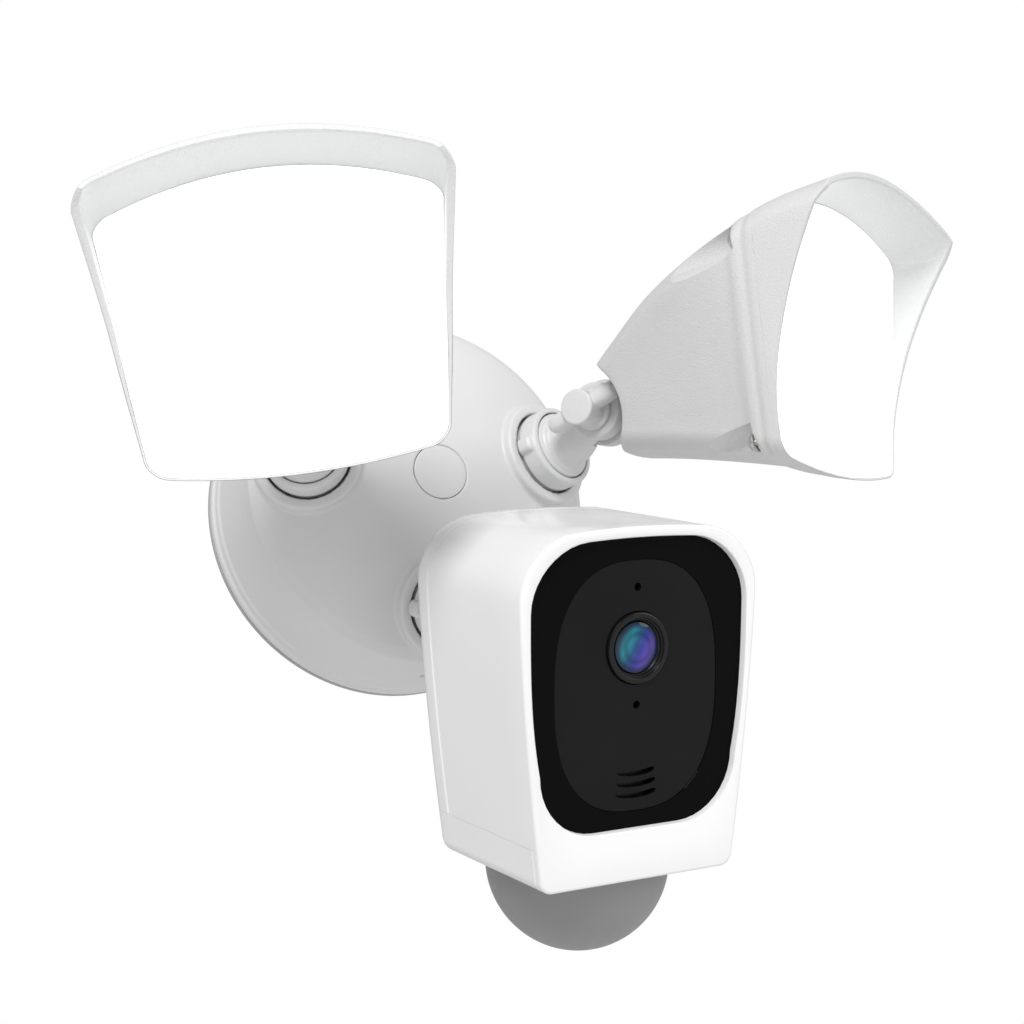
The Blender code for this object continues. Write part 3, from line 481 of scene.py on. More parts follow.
class Nodes:
    """A short way to build a node material whose coordinates are the piece's own millimetres."""

    def __init__(self, name, colour, roughness, metallic=0.0):
        self.material = bpy.data.materials.new(name)
        self.material.use_nodes = True
        self.tree = self.material.node_tree
        self.shader = self.tree.nodes["Principled BSDF"]
        plain = {"Base Color": (*colour, 1.0), "Roughness": roughness, "Metallic": metallic}
        self.set_values(plain)
        place = self.add("TexCoord").outputs["Object"]
        scale = self.add("VectorMath", {"Scale": 1 / MM}, {0: place}, operation="SCALE")
        self.place = scale.outputs[0]

    def add(self, kind, values=None, links=None, **settings):
        """A new node, with its settings, the values of its inputs and the links to them."""
        node = self.tree.nodes.new(f"ShaderNode{kind}")
        for name, setting in settings.items():
            setattr(node, name, setting)
        for socket, value in (values or {}).items():
            node.inputs[socket].default_value = value
        for socket, output in (links or {}).items():
            self.tree.links.new(output, node.inputs[socket])
        return node

    def set_values(self, values):
        """Gives inputs of the shader plain values."""
        for socket, value in values.items():
            self.shader.inputs[socket].default_value = value

    def set(self, socket, output):
        """Leads a node's output to an input of the shader."""
        self.tree.links.new(output, self.shader.inputs[socket])

    def noise(self, size, detail=3.0):
        """Noise with patches of a size in millimetres."""
        values = {"Scale": 1 / size, "Detail": detail, "Roughness": 0.5}
        return self.add("TexNoise", values, {"Vector": self.place}).outputs["Fac"]

    def ranged(self, factor, low, high, from_low=0.3, from_high=0.7):
        """A factor spread from one range of values to another."""
        values = {"From Min": from_low, "From Max": from_high, "To Min": low, "To Max": high}
        return self.add("MapRange", values, {"Value": factor}).outputs["Result"]

    def ramp(self, factor, stops):
        """Colours at positions of a factor."""
        node = self.add("ValToRGB", links={"Fac": factor})
        elements = node.color_ramp.elements
        while len(elements) < len(stops):
            elements.new(1.0)
        for element, (position, colour) in zip(elements, stops):
            element.position = position
            element.color = (*colour, 1.0)
        return node.outputs["Color"]

    def bump(self, height, distance):
        """Surface grain, with its depth in millimetres."""
        node = self.add("Bump", {"Strength": 1.0, "Distance": distance * MM}, {"Height": height})
        self.set("Normal", node.outputs["Normal"])

    def distance_from(self, x, y):
        """How far a point is from a line along z, in millimetres."""
        values = {1: (1, 1, 0), 2: (-x, -y, 0)}
        flat = self.add("VectorMath", values, {0: self.place}, operation="MULTIPLY_ADD")
        length = self.add("VectorMath", links={0: flat.outputs[0]}, operation="LENGTH")
        return length.outputs["Value"]


def plastic(name, colour, roughness, grain, depth, drift=0.03, spread=0.05):
    """Moulded or painted plastic: a slow drift of shade, and a grain of a size and depth."""
    nodes = Nodes(name, colour, roughness)
    darker = tuple(c * (1 - drift) for c in colour)
    nodes.set("Base Color", nodes.ramp(nodes.noise(38.0, 2.0), ((0.35, darker), (0.65, colour))))
    rough = nodes.ranged(nodes.noise(grain * 3), roughness - spread, roughness + spread)
    nodes.set("Roughness", rough)
    nodes.bump(nodes.noise(grain, 2.0), depth)
    return nodes


def metal(name, colour, roughness, grain):
    """Bare metal with a fine uneven polish."""
    nodes = Nodes(name, colour, roughness, 1.0)
    nodes.set("Roughness", nodes.ranged(nodes.noise(grain * 4), roughness - 0.08, roughness + 0.1))
    darker = tuple(c * 0.85 for c in colour)
    nodes.set("Base Color", nodes.ramp(nodes.noise(9.0), ((0.3, darker), (0.7, colour))))
    nodes.bump(nodes.noise(grain), 0.01)
    return nodes


def circuit_board():
    """Solder mask over a net of copper tracks."""
    nodes = Nodes("board_green", (0.02, 0.14, 0.06), 0.35)
    settings = {"feature": "DISTANCE_TO_EDGE", "distance": "MANHATTAN"}
    cells = nodes.add("TexVoronoi", {"Scale": 1 / 5.0}, {"Vector": nodes.place}, **settings)
    edge = cells.outputs["Distance"]
    tracks = ((0.03, (0.05, 0.30, 0.12)), (0.06, (0.02, 0.14, 0.06)))
    nodes.set("Base Color", nodes.ramp(edge, tracks))
    nodes.set("Roughness", nodes.ranged(nodes.noise(2.0), 0.3, 0.45))
    nodes.bump(edge, 0.05)
    return nodes.material


def opal_lens():
    """Lit diffuser: a faint blue-green tint between the spots where the LEDs show through."""
    nodes = Nodes("opal_lens", (0.93, 0.97, 0.97), 0.35)
    pattern = nodes.noise(2.4, 2.0)
    tint = nodes.ramp(pattern, ((0.35, (0.98, 1.0, 1.0)), (0.62, (1.0, 1.0, 1.0))))
    nodes.set("Emission Color", tint)
    cover = nodes.ramp(pattern, ((0.3, (0.9, 0.95, 0.95)), (0.7, (0.96, 0.98, 0.98))))
    nodes.set("Base Color", cover)
    nodes.set_values({"Emission Strength": LAMP_GLOW})
    nodes.bump(pattern, 0.03)
    return nodes.material


def painted_reflection_glass():
    """The camera's lens: dark glass with painted reflections of its coating, an emission that turns
    from violet through blue to teal.
    """
    nodes = Nodes("painted_reflection_glass", (0.01, 0.02, 0.04), 0.03)
    direction = {1: (0.86 / 15, -0.5 / 15, 0)}
    across = nodes.add("VectorMath", direction, {0: nodes.place}, operation="DOT_PRODUCT")
    reflection_hues = (
        (0.08, (0.0, 0.10, 0.16)),
        (0.30, (0.0, 0.50, 0.60)),
        (0.46, (0.01, 0.12, 0.36)),
        (0.60, (0.05, 0.04, 0.60)),
        (0.80, (0.20, 0.08, 0.75)),
        (0.95, (0.03, 0.02, 0.20)),
    )
    hue = nodes.ramp(nodes.ranged(across.outputs["Value"], 0.0, 1.0, -0.5, 0.5), reflection_hues)
    # how bright the painted reflections are, at shares of the way from the lens's middle to its edge
    reflection_levels = ((0.0, 0.75), (0.35, 1.0), (0.52, 0.45), (0.66, 0.85), (0.82, 0.12), (0.92, 0.02))
    outward = nodes.ranged(nodes.distance_from(0.0, -LENS_BELOW), 0.0, 1.0, 0.0, 8.0)
    rings = nodes.ramp(outward, [(position, (level,) * 3) for position, level in reflection_levels])
    settings = {"data_type": "RGBA", "blend_type": "MULTIPLY"}
    mix = nodes.add("Mix", {"Factor": 1.0}, {"A": hue, "B": rings}, **settings)
    # the emission paints the coating's reflections onto the glass: painted reflection, not a lamp
    nodes.set("Emission Color", mix.outputs["Result"])
    nodes.set_values({"Emission Strength": LENS_REFLECTION_GLOW, "Specular IOR Level": 0.3})
    return nodes.material


def make_finishes():
    """Every material by name. The metals and plastics differ in colour, polish and grain."""
    paint = plastic("painted_white", (0.68, 0.68, 0.68), 0.4, 0.5, 0.2, 0.02)
    gloss = plastic("gloss_white", (0.84, 0.84, 0.84), 0.16, 6.0, 0.006, 0.015, 0.03)
    gloss.set_values({"Coat Weight": 0.25, "Coat Roughness": 0.08})
    panel = plastic("gloss_black", (0.003, 0.003, 0.0035), 0.06, 9.0, 0.004, 0.2, 0.02)
    panel.set_values({"Specular IOR Level": 0.04})
    dish = plastic("satin_black", (0.006, 0.006, 0.0065), 0.34, 0.35, 0.008, 0.2, 0.06)
    dish.set_values({"Specular IOR Level": 0.13})
    black = plastic("moulded_black", (0.006, 0.006, 0.0065), 0.3, 0.4, 0.01)
    black.set_values({"Specular IOR Level": 0.25})
    frosted = plastic("frosted_grey", (0.26, 0.26, 0.26), 0.42, 0.5, 0.02, 0.04)
    frosted.set_values({"Subsurface Weight": 0.25, "Subsurface Radius": (0.004, 0.004, 0.004)})
    return {
        "satin": plastic("satin_white", (0.70, 0.70, 0.70), 0.38, 0.5, 0.012).material,
        "paint": paint.material,
        "gloss": gloss.material,
        "panel": panel.material,
        "dish": dish.material,
        "black": black.material,
        "rubber": plastic("grey_rubber", (0.42, 0.43, 0.44), 0.75, 0.3, 0.02).material,
        "steel": metal("zinc_steel", (0.62, 0.62, 0.60), 0.32, 0.4).material,
        "mirror": metal("bright_aluminium", (0.82, 0.82, 0.83), 0.18, 0.8).material,
        "board": circuit_board(),
        "opal": opal_lens(),
        "glass": painted_reflection_glass(),
        "frosted": frosted.material,
    }


# ---------------------------------------------------------------- canopy


def dome_depth(radius):
    """How far the canopy's domed face is from its back, at a distance from its middle."""
    share = min(radius / RIDGE_RADIUS, 1.0)
    return RIDGE_DEPTH + (CROWN - RIDGE_DEPTH) * (1 - share**DOME_POWER)


def canopy_profile(inset, back):
    """From the back edge up the stepped side, over the ridge and across the domed face."""
    rim = CANOPY_RADIUS - inset
    side = [
        (rim, back),
        (rim, back + 3.0, 0.3),
        (rim - 0.9, back + 3.5, 0.3),
        (rim - 1.0, back + 6.5, 0.3),
        (rim - 1.6, back + 7.0, 0.4),
        (RIDGE_RADIUS - inset, RIDGE_DEPTH - 0.8 - inset, 1.2),
    ]
    face = [(radius, dome_depth(radius) - inset) for radius in range(58, 3, -3)]
    return side + face


def in_socket(mesh, unit):
    """Moves a mesh drawn in a socket's frame to the canopy's frame."""
    return placed(mesh, canopy_frame().inverted() @ socket_frame(unit))


def socket_cutter(unit):
    """The room for a ring nut's rear and, behind it, for the arm's stem."""
    profile = [
        (STEM_RADIUS + GAP, -30.0),
        (STEM_RADIUS + GAP, -BOSS_BORE_DEPTH),
        (BOSS_BORE, -BOSS_BORE_DEPTH),
        (BOSS_BORE, 3.0),
    ]
    return in_socket(turned(profile), unit)


def make_canopy(finish):
    """The round cover: a shell with three socket rims, a cup for its plug and a drain."""
    back = SEAL_THICKNESS + GAP
    cover = make_object("canopy_cover", turned(canopy_profile(0, back), 160), canopy_frame())
    cut(cover, turned(canopy_profile(CANOPY_WALL, back - 1.0), 96))
    cup_floor = CROWN - PLUG_CUP_DEPTH
    join(cover, rod(PLUG_RADIUS + 3.0, cup_floor, 57.0))
    for unit in UNITS:
        solid = [(BOSS_RADIUS, -9.0), (BOSS_RADIUS, 0.0, 1.3), (BOSS_BORE - 1.0, 0.0)]
        join(cover, in_socket(turned(solid), unit))
    for unit in UNITS:
        cut(cover, socket_cutter(unit))
    hole = [
        (BOLT_HOLE, cup_floor - 1.0),
        (BOLT_HOLE, cup_floor + PLUG_CUP_FLOOR),
        (PLUG_RADIUS + 0.15, cup_floor + PLUG_CUP_FLOOR),
        (PLUG_RADIUS + 0.15, CROWN + 1.0),
    ]
    cut(cover, turned(hole))
    drain = block((-2.0, -CANOPY_RADIUS - 1.0, 20.0), (2.0, -CANOPY_RADIUS + 6.0, 23.0))
    cut(cover, drain)
    melt(cover, 0.55, 2, 0.42)
    finish_piece(cover, finish["satin"], "canopy", "base_cover", 60)


def make_canopy_plug(finish):
    """The round cap over the bolt in the canopy's middle."""
    plug = [
        (PLUG_RADIUS - 1.6, CROWN - 5.5),
        (PLUG_RADIUS, CROWN - 5.5),
        (PLUG_RADIUS, CROWN - 0.15, 0.45),
        (PLUG_RADIUS - 2.0, CROWN),
        (4.0, CROWN),
    ]
    disc = make_object("centre_cap", turned(plug), canopy_frame())
    cut(disc, rod(PLUG_RADIUS - 1.6, CROWN - 6.5, CROWN - 1.8))
    finish_piece(disc, finish["satin"], "plug", "centre_plug")


def make_canopy_back(finish):
    """What is seen from behind: the foam gasket, the steel plate and the cable grommet."""
    gasket = [
        (SEAL_INNER_RADIUS, 0.0, 0.4),
        (CANOPY_RADIUS, 0.0, 0.6),
        (CANOPY_RADIUS, SEAL_THICKNESS, 0.3),
        (SEAL_INNER_RADIUS, SEAL_THICKNESS, 0.3),
    ]
    seal = make_object("wall_seal", turned_ring(gasket, 160), canopy_frame())
    finish_piece(seal, finish["rubber"], "canopy", "wall_gasket")

    back = SEAL_THICKNESS + GAP
    front = back + PLATE_THICKNESS
    disc = [(PLATE_RADIUS, back), (PLATE_RADIUS, front, 0.3), (50.0, front)]
    plate = make_object("steel_plate", turned(disc, 160), canopy_frame())
    cut(plate, rod(BOLT_HOLE, 1.0, 6.0, 48), moved(rod(9.0, 1.0, 6.0, 64), y=-GROMMET_DROP))
    for side in (-1, 1):
        slot_shape = [oval(side * 38.0, 0, 2.4, 9.0, z, 5.0) for z in (1.0, 6.0)]
        cut(plate, lofted(slot_shape))
    finish_piece(plate, finish["steel"], "canopy", "mounting_plate")

    collar = [
        (5.0, 0.6, 0.5),
        (11.0, 0.6, 0.5),
        (11.0, 2.0),
        (8.7, 2.0),
        (8.7, 5.1),
        (11.0, 5.1),
        (10.0, 6.5, 0.5),
        (5.0, 6.5, 0.5),
    ]
    ring = moved(turned_ring(collar, 72), y=-GROMMET_DROP)
    grommet = make_object("grommet_ring", ring, canopy_frame())
    finish_piece(grommet, finish["rubber"], "canopy", "cable_grommet")


# ---------------------------------------------------------------- arms


def make_lock_nut(unit, finish):
    """The ring nut that locks the swivel, with two rounded grips."""
    profile = [
        (STEM_RADIUS + GAP, -4.6),
        (NUT_RADIUS - 0.8, -4.6, 0.4),
        (NUT_RADIUS - 0.8, -0.2),
        (NUT_RADIUS, 0.3, 0.4),
        (NUT_RADIUS, NUT_FRONT - 0.4, 1.1),
        (FLANGE_RADIUS + 0.5, NUT_FRONT, 0.4),
        (FLANGE_RADIUS + 0.5, NUT_FRONT - 2.6),
        (STEM_RADIUS + GAP, NUT_FRONT - 2.6),
    ]
    nut = make_object(f"{unit}_ring_nut", turned_ring(profile, 120), socket_frame(unit))
    # inset of the middle, half width and length, and height
    grip = ((1.0, 2.2, 2.9, 0.3), (0.6, 2.7, 2.9, 1.2), (0.6, 2.7, 2.9, 5.2), (1.0, 2.0, 2.3, 6.3))
    for side in (-1, 1):
        rings = [oval(side * (NUT_RADIUS - inset), 0, *shape) for inset, *shape in grip]
        join(nut, lofted(rings))
    melt(nut, 0.3, 3)
    finish_piece(nut, finish["satin"], f"{unit}_nut", f"{unit}_lock_nut", 60)


def hinge_ear(radius, thickness, side):
    """A round ear or lug on the hinge, on one side of the plane where the two meet."""
    profile = [(radius, HINGE_PLAY, 0.3), (radius, thickness, 0.9), (5.0, thickness)]
    return along_x(turned(profile), side)


def hinge_hole(start, end, side):
    return along_x(rod(HINGE_BORE, start, end, 48), side)


def hinge_room(radius, start, end, side):
    """Clears the space that the other half of the hinge, or its screw, turns in."""
    return along_x(rod(radius, start, end), side)


def make_arm(unit, finish):
    """Stem and flange about the socket's axis, and a curved neck into the ear on the hinge."""
    side = SCREW_SIDE[unit]
    hinge = socket_frame(unit).inverted() @ head_frame(unit)
    rise = hinge.translation.y
    reach = hinge.translation.z
    stem = [
        (STEM_RADIUS, -13.8),
        (STEM_RADIUS, -10.8),
        (STEM_RADIUS - 1.0, -10.8),
        (STEM_RADIUS - 1.0, -9.0),
        (STEM_RADIUS, -9.0),
        (STEM_RADIUS, 5.4),
        (FLANGE_RADIUS, 5.4),
        (FLANGE_RADIUS, NUT_FRONT + 0.1, 0.5),
        (10.6, NUT_FRONT + 0.2, 0.3),
        (10.2, NUT_FRONT + 1.0, 0.4),
        (9.0, NUT_FRONT + 1.4, 0.8),
        (8.4, NUT_FRONT + 4.5),
        (8.2, 14.0),
    ]
    arm = make_object(f"{unit}_swivel_arm", turned(stem), socket_frame(unit))
    neck = []
    for i in range(9):
        share = i / 8
        swing = step(0.0, 1.0, share)
        along = NECK_START + (reach - 2.0 - NECK_START) * share
        section = circle(NECK_RADIUS, 0.0, 64)
        x_shift = side * 1.2 * swing
        y_shift = 0.9 * rise * swing
        flat = 1 - 0.36 * swing
        neck.append([Vector((flat * p.x + x_shift, p.y + y_shift, along)) for p in section])
    join(arm, lofted(neck), placed(hinge_ear(EAR_RADIUS, EAR_THICKNESS, side), hinge))
    lug_room = hinge_room(LUG_RADIUS + 0.7, -HINGE_PLAY, 16.0, -side)
    screw_room = hinge_room(WING_REACH + 1.0, EAR_THICKNESS + 0.05, 30.0, side)
    hole = hinge_hole(-2.0, EAR_THICKNESS + 1.0, side)
    cut(arm, placed(lug_room, hinge), placed(screw_room, hinge), placed(hole, hinge))
    cut(arm, rod(WIRE_BORE, -14.8, 13.0, 48))
    melt(arm, 0.3, 5)
    finish_piece(arm, finish["satin"], f"{unit}_arm", f"{unit}_arm", 60)


def make_wing_screw(unit, finish):
    """The hand screw that locks the tilt: shank, collar, flat head and two thick wings."""
    side = SCREW_SIDE[unit]
    start = EAR_THICKNESS + GAP
    profile = [
        (2.6, -LUG_THICKNESS - 4.6),
        (2.6, start),
        (7.0, start, 0.3),
        (7.0, start + 1.6, 0.5),
        (5.9, start + 1.9, 0.2),
        (6.1, 18.0, 0.8),
        (3.0, 18.15),
    ]
    wings = []
    for i in range(21):
        along = -WING_REACH + 2 * WING_REACH * i / 20
        far = abs(along) / WING_REACH
        round_off = math.sqrt(max(1.0 - far**7, 0.02))
        half_x = 3.5 * round_off
        half_y = (2.8 + 1.0 * far * far) * round_off
        middle = start + 6.2
        wings.append(oval(side * middle, 0, half_x, half_y, along, 2.5))
    turn = Matrix.Rotation(math.radians(WING_TURN), 4, "X")
    screw = make_object(f"{unit}_hand_screw", along_x(turned(profile, 72), side), head_frame(unit))
    join(screw, placed(lofted(wings), turn))
    melt(screw, 0.25, 4)
    node = f"{unit}_wing_screw"
    finish_piece(screw, finish["satin"], f"{unit}_screw", node, 60)


def make_hinge_nut(unit, finish):
    """The hexagon nut on the far end of the hand screw."""
    side = SCREW_SIDE[unit]
    segments = 48
    low = LUG_THICKNESS + GAP

    def flats(share, height):
        points = []
        for i in range(segments):
            a = 2 * math.pi * i / segments
            into = (a % (math.pi / 3)) - math.pi / 6
            radius = share * 4.33 / math.cos(into)
            points.append(Vector((radius * math.cos(a), radius * math.sin(a), height)))
        return points

    loops = [
        circle(2.9, low, segments),
        circle(4.3, low, segments),
        flats(1.0, low + 0.4),
        flats(1.0, low + 3.0),
        circle(4.3, low + 3.4, segments),
        circle(3.1, low + 3.4, segments),
        circle(2.9, low + 3.1, segments),
    ]
    nut = make_object(f"{unit}_hex_nut", along_x(ring_lofted(loops), -side), head_frame(unit))
    finish_piece(nut, finish["steel"], f"{unit}_head", f"{unit}_hinge_nut", 25)


# ---------------------------------------------------------------- lamps


def lamp_outline(ahead, inset=0.0, corner=LAMP_CORNER):
    """(x, y) round the lamp's cross-section, arched at the top and the bottom."""
    half_top, half_bottom, crown, belly = eased(LAMP_STATIONS, ahead)
    middle = (crown + belly) / 2

    def half_width_at(y):
        share = (y - belly) / (crown - belly)
        return half_bottom + (half_top - half_bottom) * share - inset

    outline = []
    for x, y in rounded_outline(half_width_at, belly + inset, crown - inset, corner, corner):
        share = (y - middle) / (crown - middle)
        arch = ARCH_TOP * half_top if share > 0 else ARCH_BOTTOM * half_bottom
        outline.append((x, y - arch * share * (x / half_top) ** 2))
    return outline


def lamp_loop(ahead, inset=0.0, corner=LAMP_CORNER):
    """A flat ring of the lamp's surface, square to the way that the lamp faces."""
    return [Vector((x, y, ahead)) for x, y in lamp_outline(ahead, inset, corner)]


def face_ahead(height, offset=0.0):
    """How far ahead the leaning front plane is at a height, or a plane parallel to it."""
    return FACE_FOOT + FACE_LEAN * (height - FACE_LEVEL) + offset


def face_loop(offset, inset=0.0, corner=LAMP_CORNER):
    """The lamp's outline in a plane parallel to its leaning front plane."""
    points = []
    for i, (_, height) in enumerate(lamp_outline(FACE_FOOT + offset, inset, corner)):
        x, y = lamp_outline(face_ahead(height, offset), inset, corner)[i]
        points.append(Vector((x, y, face_ahead(y, offset))))
    return points


def loop_at(aheads, inset=0.0, corner=LAMP_CORNER):
    """A ring of the lamp's surface whose points are each at their own distance ahead."""
    return [lamp_loop(ahead, inset, corner)[i] for i, ahead in enumerate(aheads)]


def rear_edge():
    """How far ahead each point of the outline meets the round clearance behind the housing."""
    count = len(lamp_outline(10.0))
    aheads = [10.0] * count
    for _ in range(14):
        found = [lamp_outline(ahead)[i] for i, ahead in enumerate(aheads)]
        room = [REAR_CLEARANCE**2 - (y + REAR_CLEARANCE_DROP) ** 2 for _, y in found]
        meets = [max(math.sqrt(max(r, 0.0)), 2.0) for r in room]
        aheads = [0.5 * ahead + 0.5 * meet for ahead, meet in zip(aheads, meets)]
    return aheads


def rear_cap(mesh, ring):
    """Closes a ring of the lamp's outline with rows that run from its right to its left side."""
    side = 2 * (CORNER_STEPS + 1) + SIDE_STEPS - 1
    right = ring[:side]
    top = ring[side - 1 : side + EDGE_STEPS]
    left = list(reversed(ring[side + EDGE_STEPS - 1 : 2 * side + EDGE_STEPS - 1]))
    bottom = [right[0], *reversed(ring[2 * side + EDGE_STEPS - 1 :]), left[0]]
    rows = [bottom]
    for i in range(1, side - 1):
        inner = between(right[i].co, left[i].co, EDGE_STEPS)
        rows.append([right[i], *[mesh.verts.new(point) for point in inner], left[i]])
    rows.append(top)
    for row, following in zip(rows, rows[1:]):
        for k in range(EDGE_STEPS):
            mesh.faces.new((row[k], row[k + 1], following[k + 1], following[k]))


def band_inset(offset):
    """The raised band round the housing's front edge, with a shallow groove along it."""
    rise = HOUSING_INSET * step(BAND_START, -7.5, offset)
    groove = 0.5 * math.sin(math.pi * step(-7.6, -0.8, offset)) ** 2
    return HOUSING_INSET - rise + groove


def hollow_cutter(side, end):
    """A long hollow in the lamp's side wall: flat at its front, and pointed at its rear."""
    length, height, depth, half = HOLLOW
    rings = []
    for k in range(25):
        along = math.sin(math.pi / 2 * k / 25)
        share = math.sqrt(1 - ((along - 0.35) / 0.65) ** 2)
        ahead = end - length * along
        half_top, half_bottom, crown, belly = eased(LAMP_STATIONS, ahead)
        wall = half_bottom + (half_top - half_bottom) * (height - belly) / (crown - belly)
        middle = side * (wall - HOUSING_INSET)
        rings.append(oval(middle, height, depth * share, half * share, ahead, 2.0, 48))
    return lofted(rings)


def housing_loops():
    """Rings of the housing: in at the rear lip, along the outside, and back inside the mouth."""
    edge = rear_edge()
    lip = ((1.9, 2.6), (1.6, 0.2), (1.2, 0.0), (0.55, 0.0), (0.15, 0.35), (0.0, 0.9))
    loops = [loop_at([a + ahead for a in edge], inset + HOUSING_INSET) for inset, ahead in lip]
    fronts = [p.z for p in face_loop(BAND_START)]
    steps = 28
    for k in range(1, steps + 1):
        aheads = [a + 0.9 + (front - a - 0.9) * k / steps for a, front in zip(edge, fronts)]
        loops.append(loop_at(aheads, HOUSING_INSET))
    offsets = [BAND_START + 0.7 * k for k in range(1, 16)]
    loops += [face_loop(offset, band_inset(offset)) for offset in offsets]
    loops += [face_loop(0.0, 0.03), face_loop(0.1, 0.12), face_loop(0.1, SEAT_INSET, LENS_CORNER)]
    loops += [face_loop(LENS_SEAT, SEAT_INSET, LENS_CORNER), face_loop(LENS_SEAT, 11.0, 8.0)]
    return loops + [lamp_loop(56.0, 10.0, 7.0), lamp_loop(30.0, 6.5, 5.0)]


def make_lamp_housing(unit, finish):
    """The cast rear body, with its hinge lug, and a scoop behind each of its four screws."""
    side = SCREW_SIDE[unit]
    mesh = bmesh.new()
    rings = strip(mesh, housing_loops())
    rear_cap(mesh, rings[0])
    mesh.faces.new(rings[-1])
    bmesh.ops.recalc_face_normals(mesh, faces=mesh.faces)
    housing = make_object(f"{unit}_lamp_body", mesh, head_frame(unit))
    web = block((-side * LUG_THICKNESS, -8.0, 5.0), (-side * HINGE_PLAY, 8.0, 27.0), 0.8)
    join(housing, web, hinge_ear(LUG_RADIUS, LUG_THICKNESS, -side))
    cut(housing, hinge_hole(-1.0, LUG_THICKNESS + 1.0, -side))
    for x, y in SCREW_SPOTS:
        end = face_ahead(y, SCOOP_END)
        radius = UPPER_SCOOP_RADIUS if y > 0 else LOWER_SCOOP_RADIUS
        scoop = turned([(radius, 38.0), (radius, end, 0.8), (2.0, end)], 64)
        hole = rod(SCREW_HOLE, end - 1.0, 110.0, 24)
        cut(housing, moved(scoop, x=x, y=y), moved(hole, x=x, y=y))
        if y < 0:
            cut(housing, hollow_cutter(math.copysign(1, x), end))
    node = f"{unit}_lamp_housing"
    finish_piece(housing, finish["paint"], f"{unit}_head", node, 28)


def hood_edge(height):
    """How far ahead the hood's front edge is at a height: the visor reaches out at the top."""
    foot, overhang, bottom, top, curve = HOOD_EDGE
    share = min(max((height - bottom) / (top - bottom), 0.0), 1.0)
    return foot + overhang * share**curve


def hood_loop(share, inset=0.0, corner=LAMP_CORNER, back=0.0):
    """A ring of the hood, a share of the way from its lip to its front edge."""
    lip = face_loop(HOOD_LIP)
    aheads = [p.z + share * (hood_edge(p.y) - back - p.z) for p in lip]
    return loop_at(aheads, inset, corner)


def thinner_below(outer, inner):
    """An inner ring moved out towards the foot of the lamp, where its wall is thinner."""
    moves = [0.3 + 0.7 * step(-46.0, 34.0, p.y) for p in outer]
    return [p + move * (q - p) for p, q, move in zip(outer, inner, moves)]


def hood_wall(share, inset, corner, back=0.0):
    """A ring of the hood's rim or inside, where its wall thins towards the foot."""
    return thinner_below(hood_loop(share, back=back), hood_loop(share, inset, corner, back))


def make_lamp_hood(unit, finish):
    """The front frame: a collar with the lens lip, drawn out into the visor at the top."""
    steps = 14
    loops = [face_loop(0.12, 0.12), face_loop(0.22, 0.03)]
    loops += [hood_loop(k / steps) for k in range(steps)]
    rim = ((0.0, 0.7), (0.12, 0.25), (0.5, 0.0), (2.0, 0.0), (2.38, 0.25), (LAMP_WALL, 0.7))
    for inset, back in rim:
        corner = LAMP_CORNER + (HOOD_INNER_CORNER - LAMP_CORNER) * inset / LAMP_WALL
        loops.append(hood_wall(1.0, inset, corner, back))
    for k in range(1, steps + 1):
        loops.append(hood_wall(1 - k / steps, LAMP_WALL, HOOD_INNER_CORNER))
    loops += [face_loop(offset, LIP_INSET, LENS_CORNER) for offset in (HOOD_LIP, 0.12)]
    hood = make_object(f"{unit}_lamp_visor", ring_lofted(loops), head_frame(unit))
    for x, y in SCREW_SPOTS:
        hole = rod(SCREW_HOLE, face_ahead(y, -1.0), face_ahead(y, HOOD_LIP + 1.0), 24)
        cut(hood, moved(hole, x=x, y=y))
    finish_piece(hood, finish["paint"], f"{unit}_head", f"{unit}_lamp_hood", 30)


def make_lamp_lens(unit, finish):
    """The opal cover: a skirt down through the lip's opening, and a crowned face over the lip."""
    rim = LAMP_WALL + GAP
    under = HOOD_LIP + 0.1
    top = HOOD_LIP + 0.8
    loops = [face_loop(offset, 4.8, LENS_CORNER) for offset in (LENS_SEAT + 1.2, under)]
    for offset, inset in ((under, rim), (HOOD_LIP + 0.5, rim), (top, rim + 0.3)):
        edge = face_loop(offset, inset, HOOD_INNER_CORNER)
        loops.append(thinner_below(face_loop(offset), edge))
    ring = thinner_below(face_loop(0.0), face_loop(0.0, rim + 0.3, HOOD_INNER_CORNER))
    middle = Vector((0.0, -3.5, face_ahead(-3.5)))
    steps = 18
    for k in range(1, steps):
        shrink = 1 - k / steps
        rise = Vector((0, 0, top + 1.6 * (1 - shrink**3)))
        loops.append([middle + shrink * (p - middle) + rise for p in ring])
    lens = make_object(f"{unit}_lamp_diffuser", lofted(loops), head_frame(unit))
    finish_piece(lens, finish["opal"], f"{unit}_head", f"{unit}_lamp_lens")


def make_lamp_screws(unit, finish):
    """Four cross-head screws, which come from behind and end under the lens."""
    for number, (x, y) in enumerate(SCREW_SPOTS, start=1):
        seat = face_ahead(y, SCOOP_END) - GAP
        profile = [
            (1.2, face_ahead(y, HOOD_LIP) - 2 * GAP),
            (1.2, seat),
            (2.9, seat, 0.15),
            (2.8, seat - 1.0, 0.5),
            (2.0, seat - 2.0, 0.6),
            (0.8, seat - 2.2),
        ]
        name = f"{unit}_case_screw_{number}"
        screw = make_object(name, moved(turned(profile, 40), x=x, y=y), head_frame(unit))
        for half_x, half_y in ((0.32, 1.6), (1.6, 0.32)):
            low = (x - half_x, y - half_y, seat - 3.0)
            cut(screw, block(low, (x + half_x, y + half_y, seat - 1.2)))
        finish_piece(screw, finish["steel"], f"{unit}_head", f"{unit}_lamp_screw_{number}")


# ---------------------------------------------------------------- camera


def in_body(mesh):
    """Moves a mesh drawn about the lens to the hinge's frame."""
    return moved(mesh, y=-LENS_BELOW, z=LENS_AHEAD)


def body_object(name, mesh):
    return make_object(name, in_body(mesh), head_frame("camera"))


